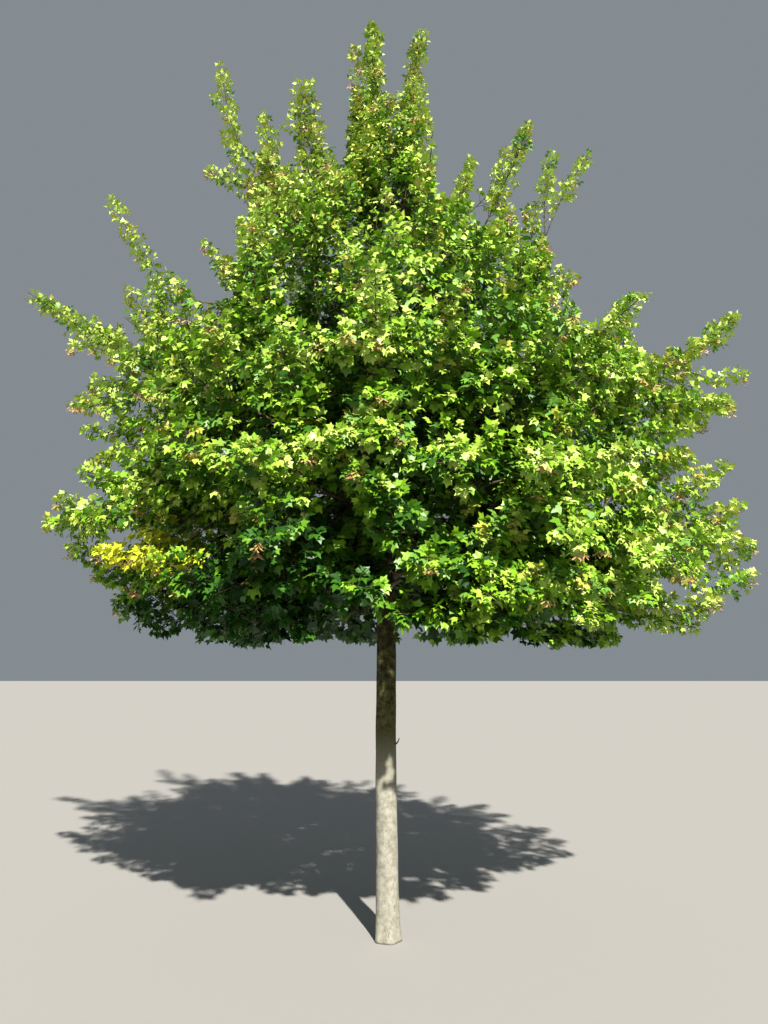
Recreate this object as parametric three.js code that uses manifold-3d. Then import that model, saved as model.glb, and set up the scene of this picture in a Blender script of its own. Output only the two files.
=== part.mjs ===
// A young maple in full leaf: one straight trunk, 5.5 m tall, with a crown 4.4 m across.
// Millimetres, +Z up, seen from the front along +Y. The origin is the middle of the flat cut at ground level.
// The trunk runs up through the crown to the fork of its two leaders. A limb is one line from the trunk to
// the tip of its shoot: the bare first part is a bough, and the rest is the stem of a mass of foliage.

import * as THREE from 'three';
import { mergeVertices } from 'three/addons/utils/BufferGeometryUtils.js';
import Module from 'manifold-3d';

const wasm = await Module();
wasm.setup();

// The trunk
const FORK_HEIGHT = 3650;
const TRUNK_FOOT_RADIUS = 62;
const TRUNK_CLEAR_HEIGHT = 1500; // the clear stem below the crown
const TRUNK_CLEAR_RADIUS = 54.5;
const TRUNK_FORK_RADIUS = 22;
const TRUNK_TAPER_POWER = 1.15;
const TRUNK_LEAN = [-22, 16]; // of its top, in X and Y
const TRUNK_SWAY = 9;
const TRUNK_SWAY_PHASE = 0.9 * Math.PI;
const TRUNK_SIDES = 18;
const TRUNK_RINGS = 13;
const TRUNK_RING_POWER = 1.7; // above 1, the rings crowd towards the flare
const FLARE = 12; // how far the root flare stands out at the ground
const FLARE_HEIGHT = 110; // it fades by 1/e in this height
const FLARE_LOBES = 5;
const FLARE_LOBE_DEPTH = 0.4;

// The tiers of limbs, from the bottom up. foot is the height of the first limb's foot and climb the step
// to the next one, bare the share of a limb that has no leaves, radius that of its foot, arch how far the
// middle of a limb stands above its chord, spread how far its foliage stands out to the sides, leaf the
// length of its largest leaves and tipLeaf that of the last ones. Each of limbs is [azimuth in degrees,
// reach, height] of the tip of its last leaf: azimuth 0 is +X and 90 is +Y.
const TIERS = [
  {
    name: 'skirt', foot: 1730, climb: 32, bare: 0.2, radius: 12, arch: 110,
    spread: 760, leaf: 620, tipLeaf: 300,
    limbs: [
      [356, 1800, 1700], [56, 1650, 1800], [112, 1650, 1760],
      [172, 1480, 1690], [232, 1560, 1780], [292, 1520, 1740],
    ],
  },
  {
    name: 'low', foot: 1960, climb: 38, bare: 0.2, radius: 15, arch: 60,
    spread: 820, leaf: 640, tipLeaf: 290,
    limbs: [
      [350, 2010, 2150], [40, 1950, 2450], [100, 1900, 2380],
      [150, 1980, 2400], [196, 1780, 2260], [250, 1780, 2400], [308, 1800, 2420],
    ],
  },
  {
    name: 'middle', foot: 2260, climb: 44, bare: 0.2, radius: 17, arch: -60,
    spread: 780, leaf: 620, tipLeaf: 230,
    limbs: [
      [0, 2160, 3560], [43, 1850, 3560], [90, 1850, 3300], [138, 1800, 3360],
      [175, 2230, 3720], [222, 1740, 3100], [268, 1700, 3120], [316, 1740, 3200],
    ],
  },
  {
    name: 'high', foot: 2660, climb: 60, bare: 0.17, radius: 14, arch: -130,
    spread: 600, leaf: 520, tipLeaf: 190,
    limbs: [[9, 1350, 4700], [70, 1150, 4150], [128, 1200, 4250], [196, 1590, 4050], [284, 980, 3950]],
  },
  {
    name: 'top', foot: 3060, climb: 95, bare: 0, radius: 11, arch: -150,
    spread: 400, leaf: 360, tipLeaf: 165,
    limbs: [[338, 920, 4600], [164, 1140, 5360], [37, 750, 4820], [212, 560, 4830]],
  },
  {
    name: 'leader', foot: FORK_HEIGHT, climb: 0, bare: 0, radius: 10, arch: 0,
    spread: 380, leaf: 320, tipLeaf: 165,
    limbs: [[184, 90, 5500], [4, 205, 5410]],
  },
];
const LEADER_STEP = 11; // from the middle of the trunk's top to the middle of a leader's foot
const LIMB_TIP_RADIUS = 9;
const LIMB_TAPER_POWER = 0.8;
const LAST_LEAF = 0.85; // the share of a limb's last leaf that stands beyond its wood
const LIMB_SWAY = 26;
const SHOOT_SWAY = 13; // of a limb that is all shoot
const BOUGH_SIDES = 5;
const BOUGH_STRETCHES = 3;
const STEM_SIDES = 3;
const STEM_STRETCHES = 4; // a stem is straight between its rings
const CLEAR = 0.3; // between one solid and the next that it meets

// Twigs. They stand in pairs along the first TWIGS_END of a stem; from SPIRE_LEAVES on it bears leaves.
const NODE_SPACING = 190; // along a stem, from one pair of twigs to the next
const FIRST_NODE = 0.3; // of that spacing, from the foot of the stem
const TWIGS_END = 0.8;
const SPIRE_LEAVES = 0.78;
const TWIG_ANGLE = [1.05, 0.7]; // off the stem, at its foot and at its tip, in radians
const TWIG_LIFT = [0.1, 0.24]; // how far a twig turns up, against its length
const TWIG_LEAF = 0.6; // the share of its last leaf that counts towards a twig's reach
const SPIRE_START = 0.55; // where a shoot starts to narrow to its leading spire
const SPIRE_LENGTH = 0.3;
const SPIRE_SHARE = 0.3; // how wide the spire is, against the shoulder of the shoot
const TWIG_RADIUS = 4;
const TWIG_TIP_RADIUS = 7;
const SHORTEST_TWIG = 60;

// Leaves. Each stands for a spray of real ones, so it is several times their size.
const PAIR_SPACING = 2; // along a twig, from one pair of leaves to the next, in leaf lengths
const SPIRE_SPACING = 0.65; // and along the spire of a stem
const PAIR_STEP = 24; // along a twig, between the roots of the two leaves of a pair
const PAIR_ANGLE = 1.1; // of a side leaf off its twig, in radians
const PAIR_LEAF = 0.92; // its length against that of the leaf at the tip
const SCATTER = 1.5; // how much at random the faces of leaves look every way
const LEAN = 0.25; // and how much they all look up, and out of the crown
const LOBE = [0.46, 0.56, 0.015]; // [share along, share across, droop] of a side lobe's tip, in leaf lengths
const NOTCH = [0.6, 0.26, 0.04]; // of the notch between a side lobe and the middle one
const POINT = [1, 0, 0.07]; // of the tip of the middle lobe
const RIDGE = 0.14; // where on its midrib a leaf is thickest
const LEAF_THICKNESS = 0.022; // there, in leaf lengths
const TIP_ROOT = 20; // how far back from the end of its stem the last leaf is rooted
const ROOT_SHARE = 0.06; // the share of a leaf next to its root where others may meet it
const SIZES = [1, 1, 1, 1, 0.82, 0.82, 0.82, 0.66, 0.66]; // tried in turn until a twig or a leaf has room
const CROWN_FLOOR = 1540; // no leaf hangs lower
const SPACE_OVERLAP = 300; // how much nearer another stem may be for a point in a mass's space
const MARGIN = 2; // between a twig or a leaf and any other solid

// Bunches of winged keys
const KEYS_SHARE = 0.08; // of the twigs
const KEYS_PLACE = 0.6; // along the twig
const KEYS_LENGTH = 110;
const KEYS_WIDTH = 80;
const KEYS_THICKNESS = 53;

const COLOURS = { bark: 0xa8a48e, bough: 0x6d6248, foliage: [0x6f9a2b, 0x7fa834, 0x5f8a28] };

const UP = new THREE.Vector3(0, 0, 1);
const QUARTER = Math.PI / 2;

// Random numbers from 0 to 1 that are the same in every run.
function seeded(seed) {
  let state = seed >>> 0;
  return () => {
    state = (state + 0x6d2b79f5) >>> 0;
    let t = state;
    t = Math.imul(t ^ (t >>> 15), t | 1);
    t ^= t + Math.imul(t ^ (t >>> 7), t | 61);
    return ((t ^ (t >>> 14)) >>> 0) / 4294967296;
  };
}

const mix = (a, b, share) => a + (b - a) * share;
const around = (random, width) => (random() - 0.5) * width;

function easeIn(t) {
  const share = Math.min(1, Math.max(0, t));
  return share * share * (3 - 2 * share);
}

// A limb's line from its foot to its tip: one shallow arch, with a slight sway that dies out at both ends.
class LimbLine extends THREE.Curve {
  constructor(foot, tip, arch, sway, phase) {
    super();
    Object.assign(this, { foot, tip, arch, sway, phase });
    this.side = new THREE.Vector3().crossVectors(tip.clone().sub(foot), UP).normalize();
  }

  getPoint(t, target = new THREE.Vector3()) {
    const fade = 4 * t * (1 - t);
    const swing = this.sway * fade * Math.sin(3 * Math.PI * t + this.phase);
    const lift = this.arch * fade + 0.6 * this.sway * fade * Math.sin(4 * Math.PI * t + 2 * this.phase);
    target.lerpVectors(this.foot, this.tip, t);
    return target.addScaledVector(this.side, swing).addScaledVector(UP, lift);
  }
}

// The wood of a stem: straight stretches between its rings, from the end of the bare part of its limb (at 0)
// to the limb's tip (at 1).
class StemLine extends THREE.Curve {
  constructor(limbLine, bare) {
    super();
    this.side = limbLine.side;
    this.rings = Array.from({ length: STEM_STRETCHES + 1 }, (_, i) =>
      limbLine.getPoint(mix(bare, 1, i / STEM_STRETCHES)),
    );
  }

  getPoint(t, target = new THREE.Vector3()) {
    const stretch = Math.min(STEM_STRETCHES - 1, Math.max(0, Math.floor(t * STEM_STRETCHES)));
    const share = t * STEM_STRETCHES - stretch;
    return target.lerpVectors(this.rings[stretch], this.rings[stretch + 1], share);
  }
}

// A closed solid from a three.js geometry, with its shared vertices merged.
function solidOf(geometry) {
  geometry.deleteAttribute('normal');
  geometry.deleteAttribute('uv');
  const merged = mergeVertices(geometry, 1e-4);
  return new wasm.Manifold(
    new wasm.Mesh({
      numProp: 3,
      vertProperties: merged.attributes.position.array,
      triVerts: new Uint32Array(merged.index.array),
    }),
  );
}

function meshOf(name, solid, material) {
  const made = solid.getMesh();
  const geometry = new THREE.BufferGeometry();
  geometry.setAttribute('position', new THREE.BufferAttribute(made.vertProperties, 3));
  geometry.setIndex(new THREE.BufferAttribute(made.triVerts, 1));
  geometry.computeVertexNormals();
  const mesh = new THREE.Mesh(geometry, material);
  mesh.name = name;
  return mesh;
}

// A cylinder of one ring per section, whose vertices place moves: it gets the ring's number, the vertex's
// x and z on the unit circle, and whether the vertex is the middle of an end.
function shapedCylinder(sides, rings, place) {
  const geometry = new THREE.CylinderGeometry(1, 1, 1, sides, rings);
  const position = geometry.attributes.position;
  const vertex = new THREE.Vector3();
  for (let i = 0; i < position.count; i++) {
    vertex.fromBufferAttribute(position, i);
    const ring = Math.round((vertex.y + 0.5) * rings);
    const point = place(ring, vertex.x, vertex.z, Math.hypot(vertex.x, vertex.z) < 0.5);
    position.setXYZ(i, point.x, point.y, point.z);
  }
  return solidOf(geometry);
}

// A solid through sections, each a centre and two half axes. It ends in a point where a tip is given.
function loft(sides, sections, tip) {
  const last = sections.length - 1;
  return shapedCylinder(sides, last, (ring, across, along, inMiddle) => {
    if (tip && inMiddle && ring === last) return tip;
    const { centre, x, z } = sections[ring];
    return centre.clone().addScaledVector(x, across).addScaledVector(z, along);
  });
}

// A round limb along the stretch of a line from t0 to t1. radiusAt gives its radius at a place on the line.
function taperedLimb(line, t0, t1, sides, rings, radiusAt) {
  const sections = Array.from({ length: rings + 1 }, (_, i) => {
    const t = mix(t0, t1, i / rings);
    const tangent = line.getTangent(t);
    const z = new THREE.Vector3().crossVectors(line.side, tangent).setLength(radiusAt(t));
    const x = new THREE.Vector3().crossVectors(tangent, z);
    return { centre: line.getPoint(t), x, z };
  });
  return loft(sides, sections);
}

// Joins solids two by two, so that no one join gets much larger than it must.
function join(solids) {
  let round = solids;
  while (round.length > 1) {
    const next = [];
    for (let i = 0; i < round.length; i += 2) {
      next.push(i + 1 < round.length ? round[i].add(round[i + 1]) : round[i]);
    }
    round = next;
  }
  return round[0];
}

// The largest body of a solid, with any sealed hollow filled.
function mainBody(solid) {
  return solid.decompose().reduce((a, b) => (b.volume() > a.volume() ? b : a));
}

function boxed(solid) {
  return { solid, box: solid.boundingBox() };
}

function tooNear(one, other) {
  const apart = [0, 1, 2].some(
    (k) => one.box.max[k] + MARGIN < other.box.min[k] || other.box.max[k] + MARGIN < one.box.min[k],
  );
  return !apart && one.solid.minGap(other.solid, MARGIN) < MARGIN;
}

// The trunk: straight but for a slight lean and sway, with a root flare that stands out in lobes.
const trunkTop = new THREE.Vector3(...TRUNK_LEAN, FORK_HEIGHT);
const trunkLine = new LimbLine(new THREE.Vector3(), trunkTop, 0, TRUNK_SWAY, TRUNK_SWAY_PHASE);

function trunkRadius(height, angle) {
  const flare = 1 + FLARE_LOBE_DEPTH * Math.cos(FLARE_LOBES * angle);
  const foot = FLARE * flare * Math.exp(-height / FLARE_HEIGHT);
  if (height < TRUNK_CLEAR_HEIGHT) {
    return foot + mix(TRUNK_FOOT_RADIUS, TRUNK_CLEAR_RADIUS, height / TRUNK_CLEAR_HEIGHT);
  }
  const share = (height - TRUNK_CLEAR_HEIGHT) / (FORK_HEIGHT - TRUNK_CLEAR_HEIGHT);
  return foot + mix(TRUNK_CLEAR_RADIUS, TRUNK_FORK_RADIUS, share ** TRUNK_TAPER_POWER);
}

// grow makes the trunk stouter, for cutting what meets it.
function trunkSolid(grow = 0) {
  return shapedCylinder(TRUNK_SIDES, TRUNK_RINGS, (ring, x, z, inMiddle) => {
    const share = (ring / TRUNK_RINGS) ** TRUNK_RING_POWER;
    const angle = Math.atan2(-z, x);
    const radius = inMiddle ? 0 : trunkRadius(share * FORK_HEIGHT, angle) + grow;
    const { x: middleX, y: middleY } = trunkLine.getPoint(share);
    const height = share * FORK_HEIGHT + (ring === TRUNK_RINGS ? grow : 0);
    return new THREE.Vector3(middleX + radius * Math.cos(angle), middleY + radius * Math.sin(angle), height);
  });
}

const grownTrunk = trunkSolid(CLEAR);

// Every limb, with its tier's sizes. Its wood stops short of the tip by most of its last leaf.
const limbs = TIERS.flatMap((tier) => tier.limbs.map((tip, order) => ({ ...tier, tip, order })));
limbs.forEach((limb, index) => {
  const [azimuth, reach, tipHeight] = limb.tip;
  const turn = THREE.MathUtils.degToRad(azimuth);
  const outwards = new THREE.Vector3(Math.cos(turn), Math.sin(turn), 0);
  const foot = trunkLine.getPoint((limb.foot + limb.climb * limb.order) / FORK_HEIGHT);
  if (limb.foot === FORK_HEIGHT) foot.addScaledVector(outwards, LEADER_STEP);
  const tip = outwards.clone().multiplyScalar(reach).setZ(tipHeight);
  tip.addScaledVector(tip.clone().sub(foot).normalize(), -LAST_LEAF * limb.tipLeaf);
  const phase = 2 * Math.PI * seeded(index + 1)();
  limb.index = index;
  limb.label = limb.name + '_' + (limb.order + 1);
  limb.line = new LimbLine(foot, tip, limb.arch, limb.bare ? LIMB_SWAY : SHOOT_SWAY, phase);
  limb.stem = new StemLine(limb.line, limb.bare);
  limb.leafy = limb.stem.getLength();
  limb.radiusAt = (t) => mix(limb.radius, LIMB_TIP_RADIUS, t ** LIMB_TAPER_POWER);
});

function boughSolid(limb) {
  const bough = taperedLimb(limb.line, 0, limb.bare, BOUGH_SIDES, BOUGH_STRETCHES, limb.radiusAt);
  return bough.subtract(grownTrunk);
}

// The stem of a mass goes on from the end of its bough, or from the trunk.
function stemSolid(limb) {
  const start = limb.bare ? mix(limb.bare, 1, CLEAR / limb.leafy) : 0;
  const stem = taperedLimb(limb.line, start, 1, STEM_SIDES, STEM_STRETCHES, limb.radiusAt);
  return stem.subtract(grownTrunk);
}

// The stems share out the crown: a point is in a mass's space if no other stem is much nearer to it.
const SPINE_STEP = 40;
const spines = limbs.map(({ leafy, stem }) => stem.getPoints(Math.ceil(leafy / SPINE_STEP)));

function distanceTo(spine, point) {
  return Math.sqrt(Math.min(...spine.map((other) => point.distanceToSquared(other))));
}

function inSpace(index, point) {
  if (point.z < CROWN_FLOOR) return false;
  const limit = distanceTo(spines[index], point) - SPACE_OVERLAP;
  return spines.every((spine, i) => i === index || distanceTo(spine, point) > limit);
}

// The frame of a leaf: d along its midrib, w across it, n the way its face looks.
function leafFrame(direction, face) {
  const d = direction.clone().normalize();
  const n = face.clone().addScaledVector(d, -face.dot(d)).normalize();
  return { d, n, w: new THREE.Vector3().crossVectors(n, d) };
}

function onLeaf(root, { d, n, w }, length, [along, across, droop]) {
  return root
    .clone()
    .addScaledVector(d, along * length)
    .addScaledVector(w, across * length)
    .addScaledVector(n, -droop * length);
}

function leafRim(root, frame, length) {
  const otherSide = ([along, across, droop]) => [along, -across, droop];
  const outline = [[0, 0, 0], otherSide(LOBE), otherSide(NOTCH), POINT, NOTCH, LOBE];
  return outline.map((place) => onLeaf(root, frame, length, place));
}

// A leaf on its own: its outline, closed underneath by a strip and above by faces that meet on the midrib.
// from is the share of it next to the root that is cut off.
function leafSolid(root, frame, length, from = 0) {
  const rim = leafRim(root, frame, length);
  rim[0] = onLeaf(root, frame, length, [from, 0, 0]);
  const ridge = onLeaf(root, frame, length, [RIDGE, 0, -LEAF_THICKNESS]);
  const above = rim.flatMap((_, i) => [rim.length, i, (i + 1) % rim.length]);
  const below = [0, 5, 1, 1, 5, 2, 5, 4, 2, 2, 4, 3];
  const geometry = new THREE.BufferGeometry().setFromPoints([...rim, ridge]);
  geometry.setIndex([...above, ...below]);
  return solidOf(geometry);
}

// A three-sided twig that widens without a break into the leaf at its tip.
function twigSolid(line, frame, length) {
  const root = line.getPoint(1);
  const section = (centre, halfWidth, thickness) => ({
    centre,
    x: frame.w.clone().multiplyScalar(-halfWidth / Math.cos(Math.PI / 6)),
    z: frame.n.clone().multiplyScalar(thickness),
  });
  const across = ([along, half, droop], thickness) =>
    section(onLeaf(root, frame, length, [along, 0, droop]), half * length, thickness * length);
  const sections = [
    section(line.getPoint(0), TWIG_RADIUS, TWIG_RADIUS),
    section(root, TWIG_TIP_RADIUS, TWIG_TIP_RADIUS),
    across(LOBE, LEAF_THICKNESS),
    across(NOTCH, LEAF_THICKNESS / 2),
  ];
  return loft(3, sections, onLeaf(root, frame, length, POINT));
}

// The faces of leaves look every way, and a little more to the sky and to the outside of the crown.
function facing(point, random) {
  const out = new THREE.Vector3(point.x, point.y, 0).normalize();
  return new THREE.Vector3(around(random, SCATTER), around(random, SCATTER), around(random, SCATTER))
    .addScaledVector(UP, LEAN)
    .addScaledVector(out, LEAN)
    .normalize();
}

// A bunch of keys hangs from its twig, with its top sunk in the wood.
function keysSolid(foot) {
  const geometry = new THREE.OctahedronGeometry(1).scale(KEYS_WIDTH / 2, KEYS_THICKNESS / 2, KEYS_LENGTH / 2);
  geometry.translate(foot.x, foot.y, foot.z - KEYS_LENGTH / 2);
  return solidOf(geometry);
}

// How far the foliage of a shoot stands out at a share of its leafy length: wide at first, then a spire.
function fullness(share) {
  return mix(0.75 + 0.25 * easeIn(share / 0.25), SPIRE_SHARE, easeIn((share - SPIRE_START) / SPIRE_LENGTH));
}

function leafLength(limb, share) {
  return mix(limb.leaf, limb.tipLeaf, easeIn((share - 0.25) / 0.6));
}

// A direction at an angle from a line's own, turned by roll about it: at roll 0 it goes off level.
function sideways(line, t, angle, roll) {
  const tangent = line.getTangent(t);
  const level = new THREE.Vector3().crossVectors(tangent, line.side).cross(tangent).normalize();
  const steep = new THREE.Vector3().crossVectors(tangent, level);
  const radial = level.multiplyScalar(Math.cos(roll)).addScaledVector(steep, Math.sin(roll));
  return tangent.multiplyScalar(Math.cos(angle)).addScaledVector(radial, Math.sin(angle));
}

// The twig on one side of a node of a stem, as a function from its size to its line. The twigs of a pair face
// each other, each pair a quarter turn on from the last.
function sideTwig(limb, node, side, share) {
  const random = seeded((limb.index + 1) * 4096 + node * 2 + side);
  const roll = (node % 2) * QUARTER + side * Math.PI + around(random, 0.8);
  const direction = sideways(limb.stem, share, mix(...TWIG_ANGLE, share) + around(random, 0.2), roll);
  const reach = limb.spread * fullness(share) * (0.85 + 0.2 * direction.z) * (0.8 + 0.35 * random());
  const lift = mix(...TWIG_LIFT, random());
  const foot = limb.stem.getPoint(share);
  return (size) => {
    const length = Math.max(SHORTEST_TWIG, reach * size - TWIG_LEAF * leafLength(limb, share));
    const tip = foot.clone().addScaledVector(direction, length);
    tip.z += lift * length;
    return new LimbLine(foot, tip, 0, 0, 0);
  };
}

// What no twig or leaf comes near: the limbs, the stems, and the masses that are done.
const limbSolids = [trunkSolid(), ...limbs.filter((limb) => limb.bare).map(boughSolid)].map(boxed);
const stems = limbs.map((limb) => boxed(stemSolid(limb)));
const doneMasses = [];

// One mass of foliage: a stem, pairs of side twigs, and leaves along both, all in the mass's own space.
class Mass {
  constructor(limb) {
    this.limb = limb;
    this.pieces = [stems[limb.index].solid];
    this.blades = [];
    this.others = [...limbSolids, ...stems.filter((_, i) => i !== limb.index), ...doneMasses];
  }

  // Keeps a leaf, and the twig it comes with, if it has room: in the mass's own space, and clear of its
  // other leaves and of all other solids.
  keepLeaf(root, frame, length, solidFor) {
    const rim = leafRim(root, frame, length);
    const edges = rim.map((point, i) => point.clone().lerp(rim[(i + 1) % rim.length], 0.5));
    if (![...rim.slice(1), ...edges].every((point) => inSpace(this.limb.index, point))) return false;
    const blade = boxed(leafSolid(root, frame, length, ROOT_SHARE));
    if (this.blades.some((other) => tooNear(blade, other))) return false;
    const piece = boxed(solidFor());
    if (this.others.some((other) => tooNear(piece, other))) return false;
    this.pieces.push(piece.solid);
    this.blades.push(blade);
    return true;
  }

  addLeaf(root, direction, length, random) {
    SIZES.some((size) => {
      const frame = leafFrame(direction, facing(root, random));
      return this.keepLeaf(root, frame, size * length, () => leafSolid(root, frame, size * length));
    });
  }

  // Pairs of leaves from the tip of a line back to the place from. On a steep line each is a quarter turn on.
  addPairs(line, from, length, spacing, random) {
    const lineLength = line.getLength();
    const step = (spacing * length) / lineLength;
    for (let t = 1 - step, pair = 0; t > from; t -= step, pair++) {
      for (const side of [0, 1]) {
        const steepness = Math.abs(line.getTangent(t).z);
        const roll = side * Math.PI + (pair % 2) * steepness * QUARTER + around(random, 0.4);
        const root = line.getPoint(t - (side * PAIR_STEP) / lineLength);
        const direction = sideways(line, t, PAIR_ANGLE + around(random, 0.3), roll);
        this.addLeaf(root, direction, PAIR_LEAF * length, random);
      }
    }
  }

  addKeys(line) {
    const bunch = boxed(keysSolid(line.getPoint(KEYS_PLACE)));
    if ([...this.blades, ...this.others].some((other) => tooNear(bunch, other))) return;
    this.pieces.push(bunch.solid);
    this.blades.push(bunch);
  }

  // A twig as long as its space allows, with the leaf at its tip and what else grows on it.
  addTwig(lineOf, length, random) {
    SIZES.some((size) => {
      const line = lineOf(size);
      if (![0.4, 0.7].every((t) => inSpace(this.limb.index, line.getPoint(t)))) return false;
      const root = line.getPoint(1);
      const frame = leafFrame(line.getTangent(1), facing(root, random));
      const long = length * mix(0.6, 1, size);
      if (!this.keepLeaf(root, frame, long, () => twigSolid(line, frame, long))) return false;
      if (random() < KEYS_SHARE) this.addKeys(line);
      this.addPairs(line, 0.2, length, PAIR_SPACING, random);
      return true;
    });
  }

  solid() {
    const { limb } = this;
    const random = seeded(limb.index);
    const root = limb.stem.getPoint(1 - TIP_ROOT / limb.leafy);
    this.addLeaf(root, limb.stem.getTangent(1), limb.tipLeaf, random);
    this.addPairs(limb.stem, SPIRE_LEAVES, limb.tipLeaf, SPIRE_SPACING, random);
    const nodes = Math.max(3, Math.round((TWIGS_END * limb.leafy) / NODE_SPACING));
    for (let node = 0; node < nodes; node++) {
      const share = (TWIGS_END * (node + FIRST_NODE)) / nodes;
      for (const side of [0, 1]) {
        const twigRandom = seeded(limb.index * 512 + node * 2 + side);
        this.addTwig(sideTwig(limb, node, side, share), leafLength(limb, share), twigRandom);
      }
    }
    const solid = mainBody(join(this.pieces));
    doneMasses.push(boxed(solid));
    return solid;
  }
}

// The scene graph
const matt = (color, roughness) => new THREE.MeshStandardMaterial({ color, roughness, metalness: 0 });
const barkMaterial = matt(COLOURS.bark, 0.9);
const boughMaterial = matt(COLOURS.bough, 0.85);
const leafMaterials = COLOURS.foliage.map((color) => matt(color, 0.55));

const tree = new THREE.Group();
tree.add(meshOf('trunk', trunkSolid(), barkMaterial));
for (const limb of limbs) {
  if (limb.bare) tree.add(meshOf('bough_' + limb.label, boughSolid(limb), boughMaterial));
  const leafMaterial = leafMaterials[limb.index % leafMaterials.length];
  tree.add(meshOf('foliage_' + limb.label, new Mass(limb).solid(), leafMaterial));
}

export default tree;
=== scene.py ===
import math
import bpy
import numpy as np
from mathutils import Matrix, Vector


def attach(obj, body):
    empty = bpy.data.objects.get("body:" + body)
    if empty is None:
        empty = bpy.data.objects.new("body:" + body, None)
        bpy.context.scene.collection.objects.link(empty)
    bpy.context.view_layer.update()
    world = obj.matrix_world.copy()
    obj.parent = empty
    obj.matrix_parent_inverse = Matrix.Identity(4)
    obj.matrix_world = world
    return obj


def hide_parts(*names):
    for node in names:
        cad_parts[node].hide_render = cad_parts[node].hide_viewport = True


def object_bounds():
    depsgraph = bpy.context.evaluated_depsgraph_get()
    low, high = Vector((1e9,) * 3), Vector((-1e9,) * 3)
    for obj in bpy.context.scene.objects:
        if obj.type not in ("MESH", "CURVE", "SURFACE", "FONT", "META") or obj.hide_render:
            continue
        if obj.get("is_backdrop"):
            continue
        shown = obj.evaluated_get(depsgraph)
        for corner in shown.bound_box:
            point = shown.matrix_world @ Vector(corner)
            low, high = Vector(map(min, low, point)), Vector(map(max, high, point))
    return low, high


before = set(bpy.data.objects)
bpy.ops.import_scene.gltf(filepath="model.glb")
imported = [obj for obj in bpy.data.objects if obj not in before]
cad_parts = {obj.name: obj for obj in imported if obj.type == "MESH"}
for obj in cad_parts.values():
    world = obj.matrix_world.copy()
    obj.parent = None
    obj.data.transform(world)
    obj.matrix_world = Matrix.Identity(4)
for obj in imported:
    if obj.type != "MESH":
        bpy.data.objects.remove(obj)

solid_low, solid_high = (np.array(corner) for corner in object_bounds())

# The viewpoint: 5 m in front of the trunk at eye level, with the camera tilted up a little, so that the
# whole tree fills an upright frame and the nearest boughs come well towards the lens.
EYE = (-0.02, -4.976, 1.6)
TILT_UP = math.radians(8.37)
LENS = 30.6
LONG_SIDE_OF_SENSOR = 36.0

camera_data = bpy.data.cameras.new("camera")
camera_data.lens = LENS
camera_data.sensor_width = LONG_SIDE_OF_SENSOR
camera = bpy.data.objects.new("camera", camera_data)
camera.location = EYE
camera.rotation_euler = (math.pi / 2 + TILT_UP, 0, 0)
bpy.context.collection.objects.link(camera)
bpy.context.scene.camera = camera

# The trunk: one stem of a young maple, with a low lobed root flare, a long clear length and an even taper
# to the fork of the two leaders. Its bark is thin, pale grey-beige low down, then brown and mottled, with
# fine upright cracks, low lumps and old bud scars. The brown, darker upwards, is partly the bark's own colour
# and partly painted shade of the crown.
FORK_HEIGHT = 3.65
TRUNK_FOOT_RADIUS = 0.062
CLEAR_HEIGHT = 1.5
CLEAR_RADIUS = 0.0545
FORK_RADIUS = 0.022
TRUNK_TAPER_POWER = 1.15
TRUNK_LEAN = np.array([-0.022, 0.016])
TRUNK_SWAY = 0.009
TRUNK_SWAY_PHASE = 0.9 * math.pi
LIFT_SHARE = 0.6
FLARE = 0.012
FLARE_HEIGHT = 0.11
FLARE_LOBES = 5
FLARE_LOBE_DEPTH = 0.4
TOP_DOME = 0.02
DOME_END = 0.02
TRUNK_SIDES = 64
TRUNK_RINGS = 320
CRACK_DEPTH = 0.0011
CRACK_FROM = 0.6
DEEPEST_CRACK = 1.5
LUMP_HEIGHT = 0.0016
FINE_RELIEF = 0.00035
SCARS = ((0.36, 4.5), (0.55, 5.4), (0.83, 4.1), (0.97, 5.9), (1.22, 4.9), (1.38, 3.6))
SCAR_SIZE = 0.013
SCAR_RISE = 0.0035
SCAR_FLATNESS = 1.4
SCAR_PIT_DEPTH = 0.6
SCAR_PIT_NARROWER = 3.2
# The brown's lower edge wanders with the bark's patches, and the painted shade in it deepens upwards.
BROWN_WANDERS = 0.5
PAINTED_SHADE_UPWARDS = -0.25
UP = np.array([0.0, 0.0, 1.0])


def mix(a, b, share):
    return a + (b - a) * share


def unit(v):
    return v / np.maximum(np.linalg.norm(v, axis=-1, keepdims=True), 1e-12)


def limb_point(line, t):
    """The places at the shares t of a limb's line: a shallow arch with a sway that dies out at its ends."""
    t = np.atleast_1d(np.asarray(t, float))[:, None]
    fade = 4 * t * (1 - t)
    swing = line["sway"] * fade * np.sin(3 * math.pi * t + line["phase"])
    lift = line["arch"] * fade
    lift = lift + LIFT_SHARE * line["sway"] * fade * np.sin(4 * math.pi * t + 2 * line["phase"])
    return mix(line["foot"], line["tip"], t) + swing * line["side"] + lift * UP


def limb_line(foot, tip, arch, sway, phase):
    """A line from a foot to a tip, with the height of its arch and the size and phase of its sway."""
    side = unit(np.cross(tip - foot, UP))
    return {"foot": foot, "tip": tip, "arch": arch, "sway": sway, "phase": phase, "side": side}


def trunk_radius(height, angle):
    """The trunk's radius at a height, and at an angle round the lobes of its root flare."""
    flare = 1 + FLARE_LOBE_DEPTH * np.cos(FLARE_LOBES * angle)
    foot = FLARE * flare * np.exp(-height / FLARE_HEIGHT)
    low = mix(TRUNK_FOOT_RADIUS, CLEAR_RADIUS, height / CLEAR_HEIGHT)
    share = np.maximum(height - CLEAR_HEIGHT, 0) / (FORK_HEIGHT - CLEAR_HEIGHT)
    high = mix(CLEAR_RADIUS, FORK_RADIUS, share**TRUNK_TAPER_POWER)
    return foot + np.where(height < CLEAR_HEIGHT, low, high)


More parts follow.
